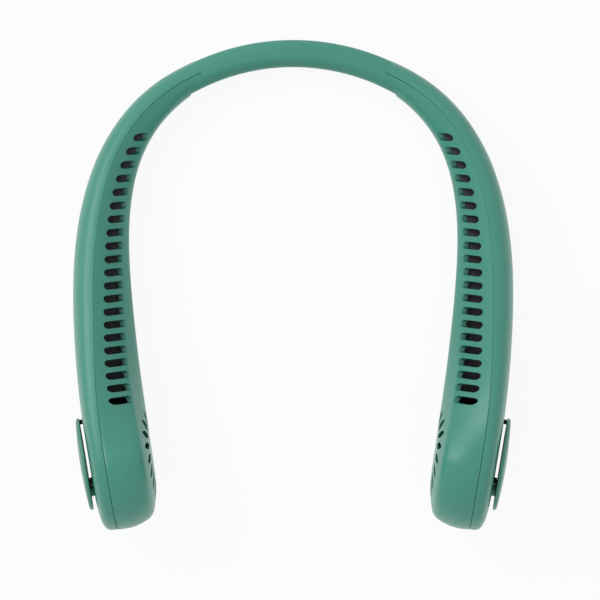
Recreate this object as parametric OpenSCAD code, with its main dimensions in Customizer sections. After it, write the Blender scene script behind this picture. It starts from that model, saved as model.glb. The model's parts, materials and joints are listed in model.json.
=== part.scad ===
// Electric neck fan: a soft neck band joins two hollow arms that end in round blower housings.
// It lies flat with +Z up, the neck band towards +Y and the arm tips towards -Y.
// The origin is at the middle of the footprint, on the surface it rests on.

/* [Neck band] */
// Radius of the band's centreline
band_radius = 101; // [97:1:105]
// Angle from the middle of the band to each arm
band_half_angle = 25.8; // [25:0.1:27]
// Thickness of the band from the neck outwards
band_thickness = 12.2; // [11.6:0.1:13]
// Height of the band
band_height = 17; // [16:0.5:18]
// Thickness of the spring steel strip in the band
strip_thickness = 0.8; // [0.6:0.1:1]
// Height of the spring steel strip
strip_height = 5.5; // [5:0.5:6]
// Radius of the lead that joins the two arms
lead_radius = 0.8; // [0.6:0.1:0.8]

/* [Arms] */
// Length of each curved run of the arm, measured along its middle
arm_run = 21.25; // [20.5:0.05:22.5]
// Greatest width of an arm from its outer to its inner side
arm_width = 29; // [28.4:0.1:30.5]
// Radius of the round blower housing at the end of an arm
fan_radius = 31.5; // [30.5:0.5:33]
// Wall thickness of both shells
wall = 2; // [1.8:0.1:2.2]
// Lean of the outer side of the blower housing
outer_lean = 2; // [0:0.5:3]
// Number of air outlet slots on each arm
slot_count = 21; // [15:1:21]
// Width of an air outlet slot
slot_width = 3.6; // [2.8:0.1:3.8]
// Distance between the first two slots at the band end
slot_first_pitch = 6.35; // [6.2:0.05:6.5]
// Distance between the last two slots at the blower end
slot_last_pitch = 5.6; // [5.4:0.05:5.8]
// Tilt of the slots towards the band at their inner ends
slot_tilt = 5.4; // [0:0.2:8]

/* [Intake] */
// Number of leaf-shaped holes in the round intake grille
leaf_count = 18; // [13:1:18]
// Outer radius of the ring of leaf-shaped holes
grille_radius = 20.8; // [19.5:0.1:21.2]
// Length of a leaf-shaped hole
leaf_length = 9.5; // [7:0.5:10]
// Greatest width of a leaf-shaped hole
leaf_width = 3.2; // [2:0.1:3.3]
// Angle that each leaf turns away from the radius
leaf_swirl = 18; // [10:1:30]
// Radius of the cover plate on the outer side
plate_radius = 21; // [19:0.5:22]
// Thickness of the cover plate at its middle
plate_thickness = 2.8; // [2.4:0.1:3.2]
// Gap between the cover plate and the outer shell
plate_gap = 1.5; // [1.2:0.1:2]

/* [Blower] */
// Number of impeller blades
blade_count = 32; // [20:1:36]
// Radius of the motor's rotor can
can_radius = 11; // [10:0.5:11]
// Radius of the motor shaft
shaft_radius = 1; // [0.8:0.1:1.2]
// Radial running clearance between the shaft and its bearing
running_clearance = 0.03; // [0.02:0.01:0.05]

/* [Power and controls] */
// Radius of the round lithium cell in each arm
cell_radius = 7; // [6.5:0.1:7]
// Length of the lithium cell
cell_length = 50; // [46:1:50]
// Radius of the power button
button_radius = 4; // [3.5:0.1:4.2]
// Travel of the power button
button_travel = 0.5; // [0.3:0.1:0.6]

/* [Hidden] */

// Smoothness of the round parts
round_steps = 48;
fine_steps = 24;

// Arm path: the turn of each run, in degrees, from the band to the blower centre
arm_turns = [16.9, 17.7, 14.7, 9.7, 6.4, 3.1, 1.8, 2.1, 1];
runs = len(arm_turns);

// Section shapes at the ends of the runs, as shares of the greatest sizes
width_shares = [0.444, 0.519, 0.601, 0.702, 0.802, 0.886, 0.944, 0.981, 1, 0.98];
middle_shares = [band_height / fan_radius / 2, 0.335, 0.41, 0.5, 0.6, 0.7, 0.8, 0.888, 0.962, 1];
rise_shares = [band_height / fan_radius / 2, 0.32, 0.39, 0.47, 0.55, 0.62, 0.705, 0.807, 0.92, 1];
drop_shares = [band_height / fan_radius / 2, 0.31, 0.355, 0.4, 0.45, 0.505, 0.587, 0.72, 0.88, 1];
ridge_shares = [0.5, 0.457, 0.432, 0.42, 0.408, 0.385, 0.358, 0.312, 0.275, 0.262];
crease_shares = [0.86, 0.91, 0.935, 0.925, 0.912, 0.89, 0.866, 0.842, 0.847, 0.876];
crease_rise_shares = [0.66, 0.52, 0.38, 0.3, 0.28, 0.29, 0.34, 0.44, 0.63, 0.88];
belly_rise_shares = [0.66, 0.64, 0.62, 0.6, 0.6, 0.62, 0.66, 0.72, 0.8, 0.88];
bow_shares = [0.03, 0.03, 0.03, 0.03, 0.03, 0.03, 0.03, 0.035, 0.06, 0.1];
corner_shares = [0.85, 0.85, 0.82, 0.8, 0.78, 0.75, 0.7, 0.62, 0.54, 0.5];
lean_shares = [0, 0, 0, 0, 0, 0, 0.2, 0.6, 1, 1];
inner_round_shares = [1.3, 1.3, 1.3, 1.3, 1.3, 1.4, 1.6, 2, 2.6, 2.85];
inner_flat_shares = [0.15, 0.15, 0.15, 0.15, 0.15, 0.15, 0.2, 0.3, 0.5, 0.62];

// Number of steps across the outer side, the slot facet and the inner side, and along the arm
outer_steps = 6;
facet_steps = 3;
inner_steps = 6;
half_steps = outer_steps + facet_steps + inner_steps;
run_steps = 3;
tip_steps = 7;
arm_rings = runs * run_steps;
last_ring = arm_rings + tip_steps;

// Where the outer shell starts along the arm, and how much later the inner side starts
mouth_start_share = -0.1;
mouth_slant_share = 0.49;
mouth_end_share = mouth_start_share + mouth_slant_share;
mouth_gap = 0.3;

fan_width = arm_width * width_shares[runs];

// Running sum of a list, from a first value
function chain(steps, first) =
  [for (i = 0, a = first; i <= len(steps); a = i < len(steps) ? a + steps[i] : a, i = i + 1) a];

// Chord of an arc that starts at a heading
function arc_step(heading, turn, length) =
  let (chord = turn == 0 ? length : length * sin(turn / 2) / (turn / 2 * PI / 180))
  chord * [cos(heading + turn / 2), -sin(heading + turn / 2)];

headings = chain(arm_turns, band_half_angle);
run_chords = [for (k = [0:runs - 1]) arc_step(headings[k], arm_turns[k], arm_run)];
band_end = band_radius * [sin(band_half_angle), cos(band_half_angle)];
knots = chain(run_chords, band_end);

// Smooth value of a table at a place along the arm, counted in runs
function smooth(table, t) =
  let (
    n = len(table) - 1,
    k = min(max(floor(t), 0), n - 1),
    f = t - k,
    a = table[max(k - 1, 0)],
    b = table[k],
    c = table[k + 1],
    d = table[min(k + 2, n)]
  )
  b + f / 2 * (c - a + f * (2 * a - 5 * b + 4 * c - d + f * (3 * (b - c) + d - a)));

function run_of(t) = min(max(floor(t), 0), runs - 1);
function heading_at(t) = let (k = run_of(t)) headings[k] + (t - k) * arm_turns[k];
function centre_at(t) =
  let (k = run_of(t)) knots[k] + arc_step(headings[k], (t - k) * arm_turns[k], (t - k) * arm_run);
function width_at(t) = arm_width * smooth(width_shares, t);
function middle_at(t) = fan_radius * smooth(middle_shares, t);
function rise_at(t) = fan_radius * smooth(rise_shares, t);
function drop_at(t) = fan_radius * smooth(drop_shares, t);
function slope_at(t) = atan2(middle_at(t + 0.5) - middle_at(t - 0.5), arm_run);
function lean_at(t) = tan(outer_lean * smooth(lean_shares, t));
function inward_at(t) = [-sin(heading_at(t)), -cos(heading_at(t))];
function along_at(t) = [cos(heading_at(t)), -sin(heading_at(t))];

// Half of a section, from the outer side over the ridge and the crease to the inner side
function half_section(t, top) =
  let (
    w = width_at(t),
    height = top ? rise_at(t) : drop_at(t),
    ridge = smooth(ridge_shares, t) * w,
    corner = smooth(corner_shares, t),
    crease_u = (smooth(crease_shares, t) - 0.5) * w,
    crease_v = smooth(top ? crease_rise_shares : belly_rise_shares, t) * height,
    side = w / 2,
    knee = max(crease_v - smooth(inner_round_shares, t) * (side - crease_u), crease_v / 3),
    flat = knee * smooth(inner_flat_shares, t),
    from = [ridge - side, height],
    to = [crease_u, crease_v],
    away = [from.y - to.y, to.x - from.x] * smooth(bow_shares, t)
  )
  [
    for (i = [0:outer_steps])
      let (a = 90 * i / outer_steps)
      [ridge * (1 - pow(cos(a), corner)) - side, height * pow(sin(a), corner)],
    for (i = [1:facet_steps])
      let (f = i / facet_steps)
      from + f * (to - from) + 4 * f * (1 - f) * away,
    for (i = [1:inner_steps - 1])
      let (f = i / (inner_steps - 1))
      (1 - f) * (1 - f) * to + 2 * f * (1 - f) * [side, knee] + f * f * [side, flat],
    [side, 0],
  ];

// The same half section moved inwards by a depth
function inset_point(points, i, depth) =
  let (
    n = len(points) - 1,
    run = points[min(i + 1, n)] - points[max(i - 1, 0)],
    out = i == 0 ? [-1, 0] : i == n ? [1, 0] : [-run.y, run.x] / norm(run)
  )
  points[i] - depth * out;

// Place in space of a point of a section: across, along and up from the middle of the arm
function place(t, u, along, v) =
  let (
    flat = centre_at(t)
      + inward_at(t) * (u + lean_at(t) * v * (0.5 - u / width_at(t)))
      + along_at(t) * along
  )
  [flat.x, flat.y, v + middle_at(t)];

// How far across the inner shell a column of its mouth lies
function mouth_share(h, top) =
  let (points = half_section(0, top), ridge = points[outer_steps].x)
  (points[h].x - ridge) / (width_at(0) / 2 - ridge);

// Place across the arm where the cavity ends at a height, less a small gap
function cavity_u(t, v, inner) =
  let (points = half_section(t, v >= 0))
  lookup(abs(v), [
    for (i = inner ? [half_steps:-1:outer_steps] : [0:1:outer_steps])
      let (q = inset_point(points, i, wall + seat_gap))
      [q.y, q.x],
  ]);

// Point of a shell: ring along the arm, column across it and depth below the skin
function shell_point(ring, column, inner, depth) =
  let (
    h = inner ? half_steps - abs(column) : abs(column),
    facing = column < 0 ? -1 : 1,
    start = mouth_start_share + (inner ? mouth_slant_share * mouth_share(h, column >= 0) : 0),
    t = ring >= arm_rings ? runs : start + (runs - start) * ring / arm_rings,
    swing = ring > arm_rings ? 90 * (last_ring - ring) / tip_steps : 90,
    p = inset_point(half_section(t, column >= 0), h, depth)
  )
  place(t, p.x, p.y * cos(swing), facing * p.y * sin(swing));

function shell_columns(inner) = inner ? half_steps - outer_steps : outer_steps;

// All points of one shell, its skin first and then its cavity side
function shell_points(inner) =
  let (m = shell_columns(inner))
  [
    for (depth = [0, wall])
      for (ring = [0:last_ring])
        for (column = [-m:m])
          shell_point(ring, column, inner, depth),
  ];

// Number of a shell point; the tip's rings share their middle and the last ring closes on itself
function shell_index(layer, ring, column, m) =
  let (
    n = 2 * m + 1,
    row = ring > arm_rings && column == 0 ? arm_rings : ring,
    side = ring == last_ring ? abs(column) : column
  )
  layer * n * (last_ring + 1) + row * n + side + m;

function triangles_of(a, b, c, d) =
  [for (f = [[a, b, c], [a, c, d]]) if (f[0] != f[1] && f[1] != f[2] && f[2] != f[0]) f];

function shell_faces(inner) =
  let (m = shell_columns(inner))
  [
    for (layer = [0, 1])
      for (ring = [0:last_ring - 1])
        for (column = [-m:m - 1])
          let (
            a = shell_index(layer, ring, column, m),
            b = shell_index(layer, ring, column + 1, m),
            c = shell_index(layer, ring + 1, column + 1, m),
            d = shell_index(layer, ring + 1, column, m)
          )
          each (layer == 0) != inner ? triangles_of(a, d, c, b) : triangles_of(a, b, c, d),
    for (edge = [-m, m])
      for (ring = [0:last_ring - 1])
        let (
          a = shell_index(0, ring, edge, m),
          b = shell_index(0, ring + 1, edge, m),
          c = shell_index(1, ring + 1, edge, m),
          d = shell_index(1, ring, edge, m)
        )
        each (edge > 0) != inner ? triangles_of(a, b, c, d) : triangles_of(a, d, c, b),
    for (column = [-m:m - 1])
      let (
        a = shell_index(0, 0, column, m),
        b = shell_index(0, 0, column + 1, m),
        c = shell_index(1, 0, column + 1, m),
        d = shell_index(1, 0, column, m)
      )
      each inner ? triangles_of(a, d, c, b) : triangles_of(a, b, c, d),
  ];

outer_points = shell_points(false);
inner_points = shell_points(true);

// The origin: middle of the footprint, on the resting surface
tip_y = min([for (p = outer_points) p.y]);
rest_z = min([for (p = concat(outer_points, inner_points)) p.z]);
origin_y = (band_radius + band_thickness / 2 + tip_y) / 2;
band_z = band_height / 2 + rest_z;

module arm_frame(t) {
  translate([centre_at(t).x, centre_at(t).y, middle_at(t)])
    rotate([0, 0, 270 - heading_at(t)])
      children();
}

module fan_axis() {
  arm_frame(runs)
    rotate([0, 90, 0])
      children();
}

// Everything is built for the right arm and moved to the origin; the left arm is its mirror
module right_side() {
  translate([0, -origin_y, -rest_z])
    children();
}

module left_side() {
  mirror([1, 0, 0])
    right_side()
      children();
}

module ring(outer, inner, length) {
  difference() {
    cylinder(r = outer, h = length, $fn = round_steps);
    translate([0, 0, -overrun])
      cylinder(r = inner, h = length + 2 * overrun, $fn = round_steps);
  }
}
overrun = 1;
touch = 0.2;
seat_gap = 0.3;

// Tube along a list of points
function tube_ring(path, i, radius, sides) =
  let (
    last = len(path) - 1,
    run = path[min(i + 1, last)] - path[max(i - 1, 0)],
    ahead = run / norm(run),
    over = cross(ahead, [0, 0, 1]),
    across = over / norm(over),
    up = cross(across, ahead)
  )
  [for (k = [0:sides - 1]) path[i] + radius * (across * cos(360 * k / sides) + up * sin(360 * k / sides))];

module tube(path, radius, sides) {
  last = len(path) - 1;
  points = [for (i = [0:last]) each tube_ring(path, i, radius, sides)];
  walls = [
    for (i = [0:last - 1])
      for (k = [0:sides - 1])
        let (n = (k + 1) % sides)
        each triangles_of(i * sides + k, i * sides + n, (i + 1) * sides + n, (i + 1) * sides + k)
  ];
  ends = [
    for (k = [1:sides - 2]) each [
      [0, k + 1, k],
      [last * sides, last * sides + k, last * sides + k + 1],
    ]
  ];
  polyhedron(points = points, faces = concat(walls, ends), convexity = 6);
}

// Neck band
channel_play = 0.2;
lead_drop = 4.35;
strip_reach_angle = 10.5;
lead_reach_angle = 9;
lead_gap_angle = 0.2;

module band_arc(half_angle) {
  rotate([0, 0, 90 - half_angle])
    rotate_extrude(angle = 2 * half_angle, $fn = 360)
      children();
}

// The section's rounded ends are cut a little flat, so that the band rests on a flat face
flat_sink = 0.35;

module band_section() {
  corner = band_thickness / 2;
  lift = band_height / 2 + flat_sink - corner;
  translate([band_radius, 0])
    intersection() {
      union() {
        for (side = [-1, 1])
          translate([0, side * lift])
            circle(r = corner, $fn = round_steps);
        square([band_thickness, 2 * lift], center = true);
      }
      square([band_thickness, band_height], center = true);
    }
}

module strip_section(play) {
  translate([band_radius, 0])
    square([strip_thickness + 2 * play, strip_height + 2 * play], center = true);
}

module lead_section(play) {
  translate([band_radius, -lead_drop])
    circle(r = lead_radius + play, $fn = fine_steps);
}

// Plan outline of the space beyond the band's end, which the arm fills
sleeve_extra_angle = 8;
beyond_reach_share = 1.2;
module beyond_band() {
  depth = 3 * band_height;
  side = band_thickness;
  seam = flat_place(mouth_start_share, (ridge_shares[0] - 0.5) * width_at(0));
  corner = flat_place(mouth_end_share, width_at(mouth_end_share) / 2);
  translate([0, 0, -depth / 2])
    linear_extrude(height = depth)
      polygon([
        flat_place(mouth_start_share, -side),
        seam,
        corner,
        2 * corner - seam,
        flat_place(beyond_reach_share, side),
        flat_place(beyond_reach_share, -side),
      ]);
}

// Place in plan, a small gap before the arm's skin
function flat_place(t, u) = let (p = place(t, u, -mouth_gap, 0)) [p.x, p.y];

module band_sleeve() {
  color("#4f9482")
    translate([0, -origin_y, band_z - rest_z])
      difference() {
        band_arc(band_half_angle + sleeve_extra_angle)
          difference() {
            band_section();
            strip_section(channel_play);
            lead_section(channel_play);
          }
        beyond_band();
        mirror([1, 0, 0])
          beyond_band();
      }
}

module band_strip() {
  color("#8c9196")
    translate([0, -origin_y, band_z - rest_z])
      band_arc(band_half_angle + strip_reach_angle)
        strip_section(0);
}

module band_lead() {
  color("#1d1f20")
    translate([0, -origin_y, band_z - rest_z])
      band_arc(band_half_angle + lead_reach_angle)
        lead_section(0);
}

// Slots, drawn level from the inner side; their outer ends lie at shares of the facet's run to the crease
slot_outer_shares = [0.3, 0.3, 0.3, 0.3, 0.3, 0.3, 0.27, 0.25, 0.245, 0.245];
slot_arc_share = 0.45;
slot_first_share = 0.617;
slot_depth = 2.2 * wall;
slot_arc_steps = 10;
slot_steps = slot_count - 1;
slot_pitch_drop = (slot_first_pitch - slot_last_pitch) / max(slot_steps - 1, 1);
row_steps = 10;
slot_outer_rows = facet_rows(false);
slot_inner_rows = facet_rows(true);

function slot_y(i) =
  slot_first_share * band_radius - i * slot_first_pitch + slot_pitch_drop * i * (i - 1) / 2;

function facet_point(t, share) =
  let (
    ridge = smooth(ridge_shares, t),
    across = ridge + share * (smooth(crease_shares, t) - ridge) - 0.5,
    up = 1 + share * (smooth(crease_rise_shares, t) - 1)
  )
  place(t, across * width_at(t), 0, up * rise_at(t));

function slot_end_share(t, inner) = inner ? 1 : smooth(slot_outer_shares, t);

function facet_rows(inner) = [
  for (i = [0:row_steps * runs])
    let (t = i / row_steps)
    [-facet_point(t, slot_end_share(t, inner)).y, t],
];

// End of a slot whose line crosses that side of the facet at a given distance towards the band
function slot_end(y, inner) =
  let (t = lookup(-y, inner ? slot_inner_rows : slot_outer_rows))
  facet_point(t, slot_end_share(t, inner));

// Upright outline of a slot with rounded ends, standing on its lowest point
function slot_outline(high) =
  let (half = slot_width / 2, arc = min(half, slot_arc_share * high))
  [
    for (top = [true, false])
      for (k = [0:slot_arc_steps])
        let (a = 180 * k / slot_arc_steps + (top ? 0 : 180))
        [half * cos(a), (top ? high - arc : arc) + arc * sin(a)],
  ];

module slot_cut(i) {
  y = slot_y(i);
  climb = tan(slot_tilt) * (slot_end(y, false).x - slot_end(y, true).x) / 2;
  from = slot_end(y - climb, false);
  to = slot_end(y + climb, true);
  run = [to.x - from.x, to.y - from.y];
  translate([from.x, from.y, to.z])
    rotate([0, 0, atan2(run.y, run.x)])
      translate([-slot_depth, 0, 0])
        rotate([90, 0, 90])
          linear_extrude(height = slot_depth + norm(run) + wall)
            polygon(slot_outline(from.z - to.z));
}

// Leaf-shaped hole, drawn along X about its middle
leaf_points = 8;
leaf_fullness = 0.75;
function leaf_outline() = concat(
  [for (i = [0:leaf_points])
    let (f = i / leaf_points)
    [leaf_length * (f - 0.5), leaf_width / 2 * pow(sin(180 * f), leaf_fullness)]],
  [for (i = [1:leaf_points - 1])
    let (f = 1 - i / leaf_points)
    [leaf_length * (f - 0.5), -leaf_width / 2 * pow(sin(180 * f), leaf_fullness)]]
);
leaf_middle = sqrt(pow(grille_radius, 2) - pow(leaf_length / 2 * sin(leaf_swirl), 2))
  - leaf_length / 2 * cos(leaf_swirl);
leaf_phase = 84.5;

// Leaf holes through the inner side of the blower housing
module grille_cut() {
  arm_frame(runs)
    for (i = [0:leaf_count - 1])
      rotate([leaf_phase + 360 * i / leaf_count, 0, 0])
        translate([fan_width / 4, leaf_middle, 0])
          rotate([-leaf_swirl, 0, 0])
            rotate([0, 90, 0])
              rotate([0, 0, 90])
                linear_extrude(height = fan_width / 2)
                  polygon(leaf_outline());
}

// Screws
screw_radius = 1;
screw_length = 8;
screw_head_radius = 1.6;
screw_head_height = 1.4;
screw_play = 0.15;
boss_radius = 2.3;
inner_boss_radius = 2;
screw_sink = 1.2;
screw_bite = 5;
// Place along the arm and height of each screw, as shares of the section's drop
screw_places = [[1.75, -0.3], [3.7, -0.5], [9, -0.862]];

module at_screw(place) {
  t = place[0];
  v = place[1] * drop_at(t);
  arm_frame(t)
    translate([-width_at(t) / 2, 0, v])
      rotate([0, 90, 0])
        children();
}

skin_limit_share = 0.97;
function skin_in(t, v) =
  let (
    share = min(abs(v) / drop_at(t), skin_limit_share),
    corner = 2 / smooth(corner_shares, t)
  )
  smooth(ridge_shares, t) * width_at(t) * (1 - pow(1 - pow(share, corner), 1 / corner))
  + lean_at(t) * v;

function screw_start(place) = skin_in(place[0], place[1] * drop_at(place[0])) + screw_sink;

module shell_screw(place) {
  at_screw(place)
    translate([0, 0, screw_start(place)]) {
      difference() {
        cylinder(r = screw_head_radius, h = screw_head_height, $fn = fine_steps);
        translate([0, 0, -overrun])
          cylinder(r = screw_radius / 2, h = overrun + screw_head_height / 2, $fn = 6);
      }
      cylinder(r = screw_radius, h = screw_length, $fn = fine_steps);
    }
}

module screw_boss_outer(place) {
  at_screw(place)
    translate([0, 0, screw_start(place)])
      cylinder(r = boss_radius, h = screw_length - screw_bite, $fn = fine_steps);
}

module screw_hole_outer(place) {
  at_screw(place)
    translate([0, 0, screw_start(place)]) {
      translate([0, 0, -screw_length])
        cylinder(r = screw_head_radius + screw_play, h = screw_length + screw_head_height, $fn = fine_steps);
      cylinder(r = screw_radius + screw_play, h = screw_length, $fn = fine_steps);
    }
}

module screw_boss_inner(place) {
  t = place[0];
  start = screw_start(place) + screw_length - screw_bite + seat_gap;
  far_wall = cavity_u(t, place[1] * drop_at(t), true) + width_at(t) / 2 + seat_gap;
  at_screw(place)
    translate([0, 0, start])
      difference() {
        cylinder(r = inner_boss_radius, h = far_wall + wall / 2 - start, $fn = fine_steps);
        translate([0, 0, -overrun])
          cylinder(r = screw_radius, h = screw_bite + overrun, $fn = fine_steps);
      }
}

// Cover plate fixings
post_radius = 2.2;
post_play = 0.1;
post_ring_share = 0.81;
post_angles = [44, 316];
post_snap = 1;
// Turn round the plate, distance from its middle as a share of its radius, and radius of each pad
pad_turn_ring_radius_shares = [[62, 0.85, 0.076], [180, 0.915, 0.052], [298, 0.85, 0.076]];
plate_rim = 1.7;
plate_edge = 0.8;
edge_steps = 4;
dome_steps = 8;
plate_seat = fan_width / 2 + plate_gap;

module plate_frame() {
  arm_frame(runs)
    rotate([0, outer_lean, 0])
      translate([-plate_seat, 0, 0])
        rotate([0, 90, 0])
          children();
}

// The turn of a fixing round the plate: 0 is towards the arm's tip and 90 is up
module round_plate(angle, share) {
  plate_frame()
    rotate([0, 0, 90 + angle])
      translate([plate_radius * share, 0, 0])
        children();
}

module cover_plate() {
  bulge = plate_thickness - plate_rim;
  flat_end = plate_radius - plate_edge;
  dome = (pow(flat_end, 2) + pow(bulge, 2)) / (2 * bulge);
  color("#558f7d")
    union() {
      plate_frame()
        rotate_extrude($fn = round_steps)
          polygon([
            [0, 0],
            for (i = [0:dome_steps])
              let (r = flat_end * i / dome_steps)
              [r, dome - plate_thickness - sqrt(pow(dome, 2) - pow(r, 2))],
            for (i = [1:edge_steps])
              let (a = 90 * i / edge_steps)
              [flat_end + plate_edge * sin(a), plate_edge * (1 - cos(a)) - plate_rim],
            [plate_radius, 0],
          ]);
      for (angle = post_angles)
        round_plate(angle, post_ring_share)
          translate([0, 0, -plate_rim / 2])
            cylinder(r = post_radius, h = plate_rim / 2 + plate_gap + wall + post_snap, $fn = fine_steps);
    }
}

module cover_pads() {
  color("#101312")
    for (pad = pad_turn_ring_radius_shares)
      round_plate(pad[0], pad[1])
        translate([0, 0, touch / 2])
          cylinder(r = pad[2] * plate_radius, h = plate_gap - touch, $fn = fine_steps);
}

// Blower layout, measured along the axis from the middle of the housing
hub_radius = 8.2;
window_radius = 14.2;
spoke_width = 2.4;
spoke_count = 5;
// One spoke points up the arm and carries the motor lead
spoke_angle = 270;
hub_step = 0.61;
hub_face = wall + hub_step - fan_width / 2;
mount_thickness = 1.3;
board_thickness = 0.8;
post_inner = 2;
post_outer = 3.2;
mount_radius = 7.8;
mount_face = hub_face + mount_thickness;
can_lift = 3;
can_length = 9;
can_start = hub_face + can_lift;
can_end = can_start + can_length;
can_wall = 0.8;
can_floor = 0.9;
magnet_thickness = 1.4;
magnet_margin = 0.8;
air_gap = 0.5;
cup_play = 0.1;
cup_wall = 1.1;
cup_floor = 1.2;
cup_end = can_end + cup_floor;
inlet_space = 5.8;
impeller_share = 0.7;
impeller_radius = impeller_share * fan_radius;
impeller_start = can_start - touch;
impeller_end = fan_width / 2 - inlet_space;
web_thickness = 1.2;
blade_inner_share = 0.75;
blade_inner = blade_inner_share * impeller_radius;
blade_thickness = 0.8;
blade_lean = 38;
rim_width = 1.6;
rim_inner = impeller_radius - rim_width;
rim_thickness = 1;
scroll_gap = 1.55;
scroll_radius = impeller_radius + scroll_gap;
scroll_wall = 1.2;
scroll_ahead = 0.6;
scroll_start = impeller_start - scroll_ahead;
scroll_end = impeller_end - rim_thickness;
scroll_open_from = 96;
scroll_open_to = 172;
shaft_sink = 0.7;
shaft_start = hub_face + shaft_sink;
shaft_past = 1.6;
shaft_end = cup_end + shaft_past;
stator_lift = 1.2;
stator_start = can_start + stator_lift;
stator_length = 5;
tooth_count = 9;
tooth_width = 1.6;
yoke_radius = 4.6;
shoe_thickness = 0.7;
stator_radius = can_radius - can_wall - magnet_thickness - air_gap;
coil_thickness = 0.55;
coil_margin = 0.15;

module hub_boss() {
  fan_axis()
    translate([0, 0, hub_face - wall])
      cylinder(r = hub_radius, h = wall, $fn = round_steps);
}

module intake_windows() {
  fan_axis()
    translate([0, 0, -fan_width])
      difference() {
        cylinder(r = window_radius, h = fan_width, $fn = round_steps);
        cylinder(r = hub_radius, h = fan_width, $fn = round_steps);
        for (i = [0:spoke_count - 1])
          rotate([0, 0, spoke_angle + 360 * i / spoke_count])
            translate([0, -spoke_width / 2, 0])
              cube([window_radius + overrun, spoke_width, fan_width]);
      }
}

module post_holes() {
  for (angle = post_angles)
    round_plate(angle, post_ring_share)
      cylinder(r = post_radius + post_play, h = plate_gap + 2 * wall + overrun, $fn = fine_steps);
}

module outer_shell() {
  color("#5ba08d")
    difference() {
      union() {
        polyhedron(points = outer_points, faces = shell_faces(false), convexity = 10);
        hub_boss();
        for (place = screw_places)
          screw_boss_outer(place);
      }
      intake_windows();
      post_holes();
      for (place = screw_places)
        screw_hole_outer(place);
      mount_screw_holes();
      children();
    }
}

module inner_shell() {
  color("#438c7a")
    difference() {
      union() {
        polyhedron(points = inner_points, faces = shell_faces(true), convexity = 10);
        for (place = screw_places)
          screw_boss_inner(place);
      }
      for (i = [0:slot_steps])
        slot_cut(i);
      grille_cut();
    }
}

// Motor mount screws share the shell screw's size and hold the mount to the hub
mount_screw_ring = 5.6;
mount_hole_radius = 0.6;
mount_peg_length = 1.2;
mount_peg_play = 0.05;

module mount_screw_holes() {
  fan_axis()
    for (i = [0:2])
      rotate([0, 0, 120 * i])
        translate([mount_screw_ring, 0, hub_face - mount_peg_length])
          cylinder(r = mount_hole_radius + mount_peg_play, h = 2 * mount_peg_length, $fn = fine_steps);
}

module motor_mount() {
  color("#23282a")
    fan_axis()
      difference() {
        union() {
          translate([0, 0, hub_face])
            cylinder(r = mount_radius, h = mount_thickness, $fn = round_steps);
          translate([0, 0, hub_face])
            cylinder(r = post_outer, h = stator_start + stator_length + touch - hub_face, $fn = round_steps);
          for (i = [0:2])
            rotate([0, 0, 120 * i])
              translate([mount_screw_ring, 0, hub_face - mount_peg_length + mount_peg_play])
                cylinder(r = mount_hole_radius, h = mount_peg_length, $fn = fine_steps);
        }
        translate([0, 0, hub_face + mount_thickness / 2])
          cylinder(r = post_inner, h = fan_width, $fn = round_steps);
      }
}

module bearing() {
  start = hub_face + mount_thickness;
  color("#b08d4a")
    fan_axis()
      translate([0, 0, start])
        ring(post_inner, shaft_radius + running_clearance, stator_start + stator_length - start);
}

module motor_shaft() {
  color("#b9bdc0")
    fan_axis()
      translate([0, 0, shaft_start])
        cylinder(r = shaft_radius, h = shaft_end - shaft_start, $fn = fine_steps);
}

module motor_board() {
  color("#1f5a3a")
    fan_axis()
      translate([0, 0, mount_face])
        ring(mount_radius, post_outer, board_thickness);
}

module stator() {
  color("#7d8285")
    fan_axis()
      translate([0, 0, stator_start])
        linear_extrude(height = stator_length)
          difference() {
            union() {
              circle(r = yoke_radius, $fn = round_steps);
              for (i = [0:tooth_count - 1])
                rotate([0, 0, 360 * i / tooth_count])
                  translate([0, -tooth_width / 2])
                    square([stator_radius - shoe_thickness / 2, tooth_width]);
              difference() {
                circle(r = stator_radius, $fn = round_steps);
                circle(r = stator_radius - shoe_thickness, $fn = round_steps);
                for (i = [0:tooth_count - 1])
                  rotate([0, 0, 360 * (i + 0.5) / tooth_count])
                    translate([0, -tooth_width / 4])
                      square([stator_radius + overrun, tooth_width / 2]);
              }
            }
            circle(r = post_outer, $fn = round_steps);
          }
}

module windings() {
  inner = yoke_radius + coil_margin;
  outer = stator_radius - shoe_thickness - coil_margin;
  color("#b5652a")
    fan_axis()
      for (i = [0:tooth_count - 1])
        rotate([0, 0, 360 * i / tooth_count])
          translate([inner, 0, stator_start + stator_length / 2])
            difference() {
              translate([0, -tooth_width / 2 - coil_thickness, -stator_length / 2 - coil_thickness])
                cube([outer - inner, tooth_width + 2 * coil_thickness, stator_length + 2 * coil_thickness]);
              translate([-overrun, -tooth_width / 2, -stator_length / 2])
                cube([outer - inner + 2 * overrun, tooth_width, stator_length]);
            }
}

module rotor_can() {
  color("#a9adb0")
    fan_axis()
      translate([0, 0, can_start])
        difference() {
          cylinder(r = can_radius, h = can_end - can_start, $fn = round_steps);
          translate([0, 0, -can_floor])
            cylinder(r = can_radius - can_wall, h = can_end - can_start, $fn = round_steps);
          cylinder(r = shaft_radius, h = fan_width, $fn = fine_steps);
        }
}

module magnet_ring() {
  outer = can_radius - can_wall;
  color("#3a3d40")
    fan_axis()
      translate([0, 0, can_start + magnet_margin])
        ring(outer, outer - magnet_thickness, can_end - can_start - can_floor - 2 * magnet_margin);
}

module blade() {
  chord = impeller_radius - blade_inner - rim_thickness / 2;
  translate([blade_inner + rim_thickness / 4, 0, 0])
    rotate([0, 0, blade_lean])
      translate([0, -blade_thickness / 2, 0])
        cube([chord, blade_thickness, impeller_end - impeller_start - rim_thickness]);
}

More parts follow.
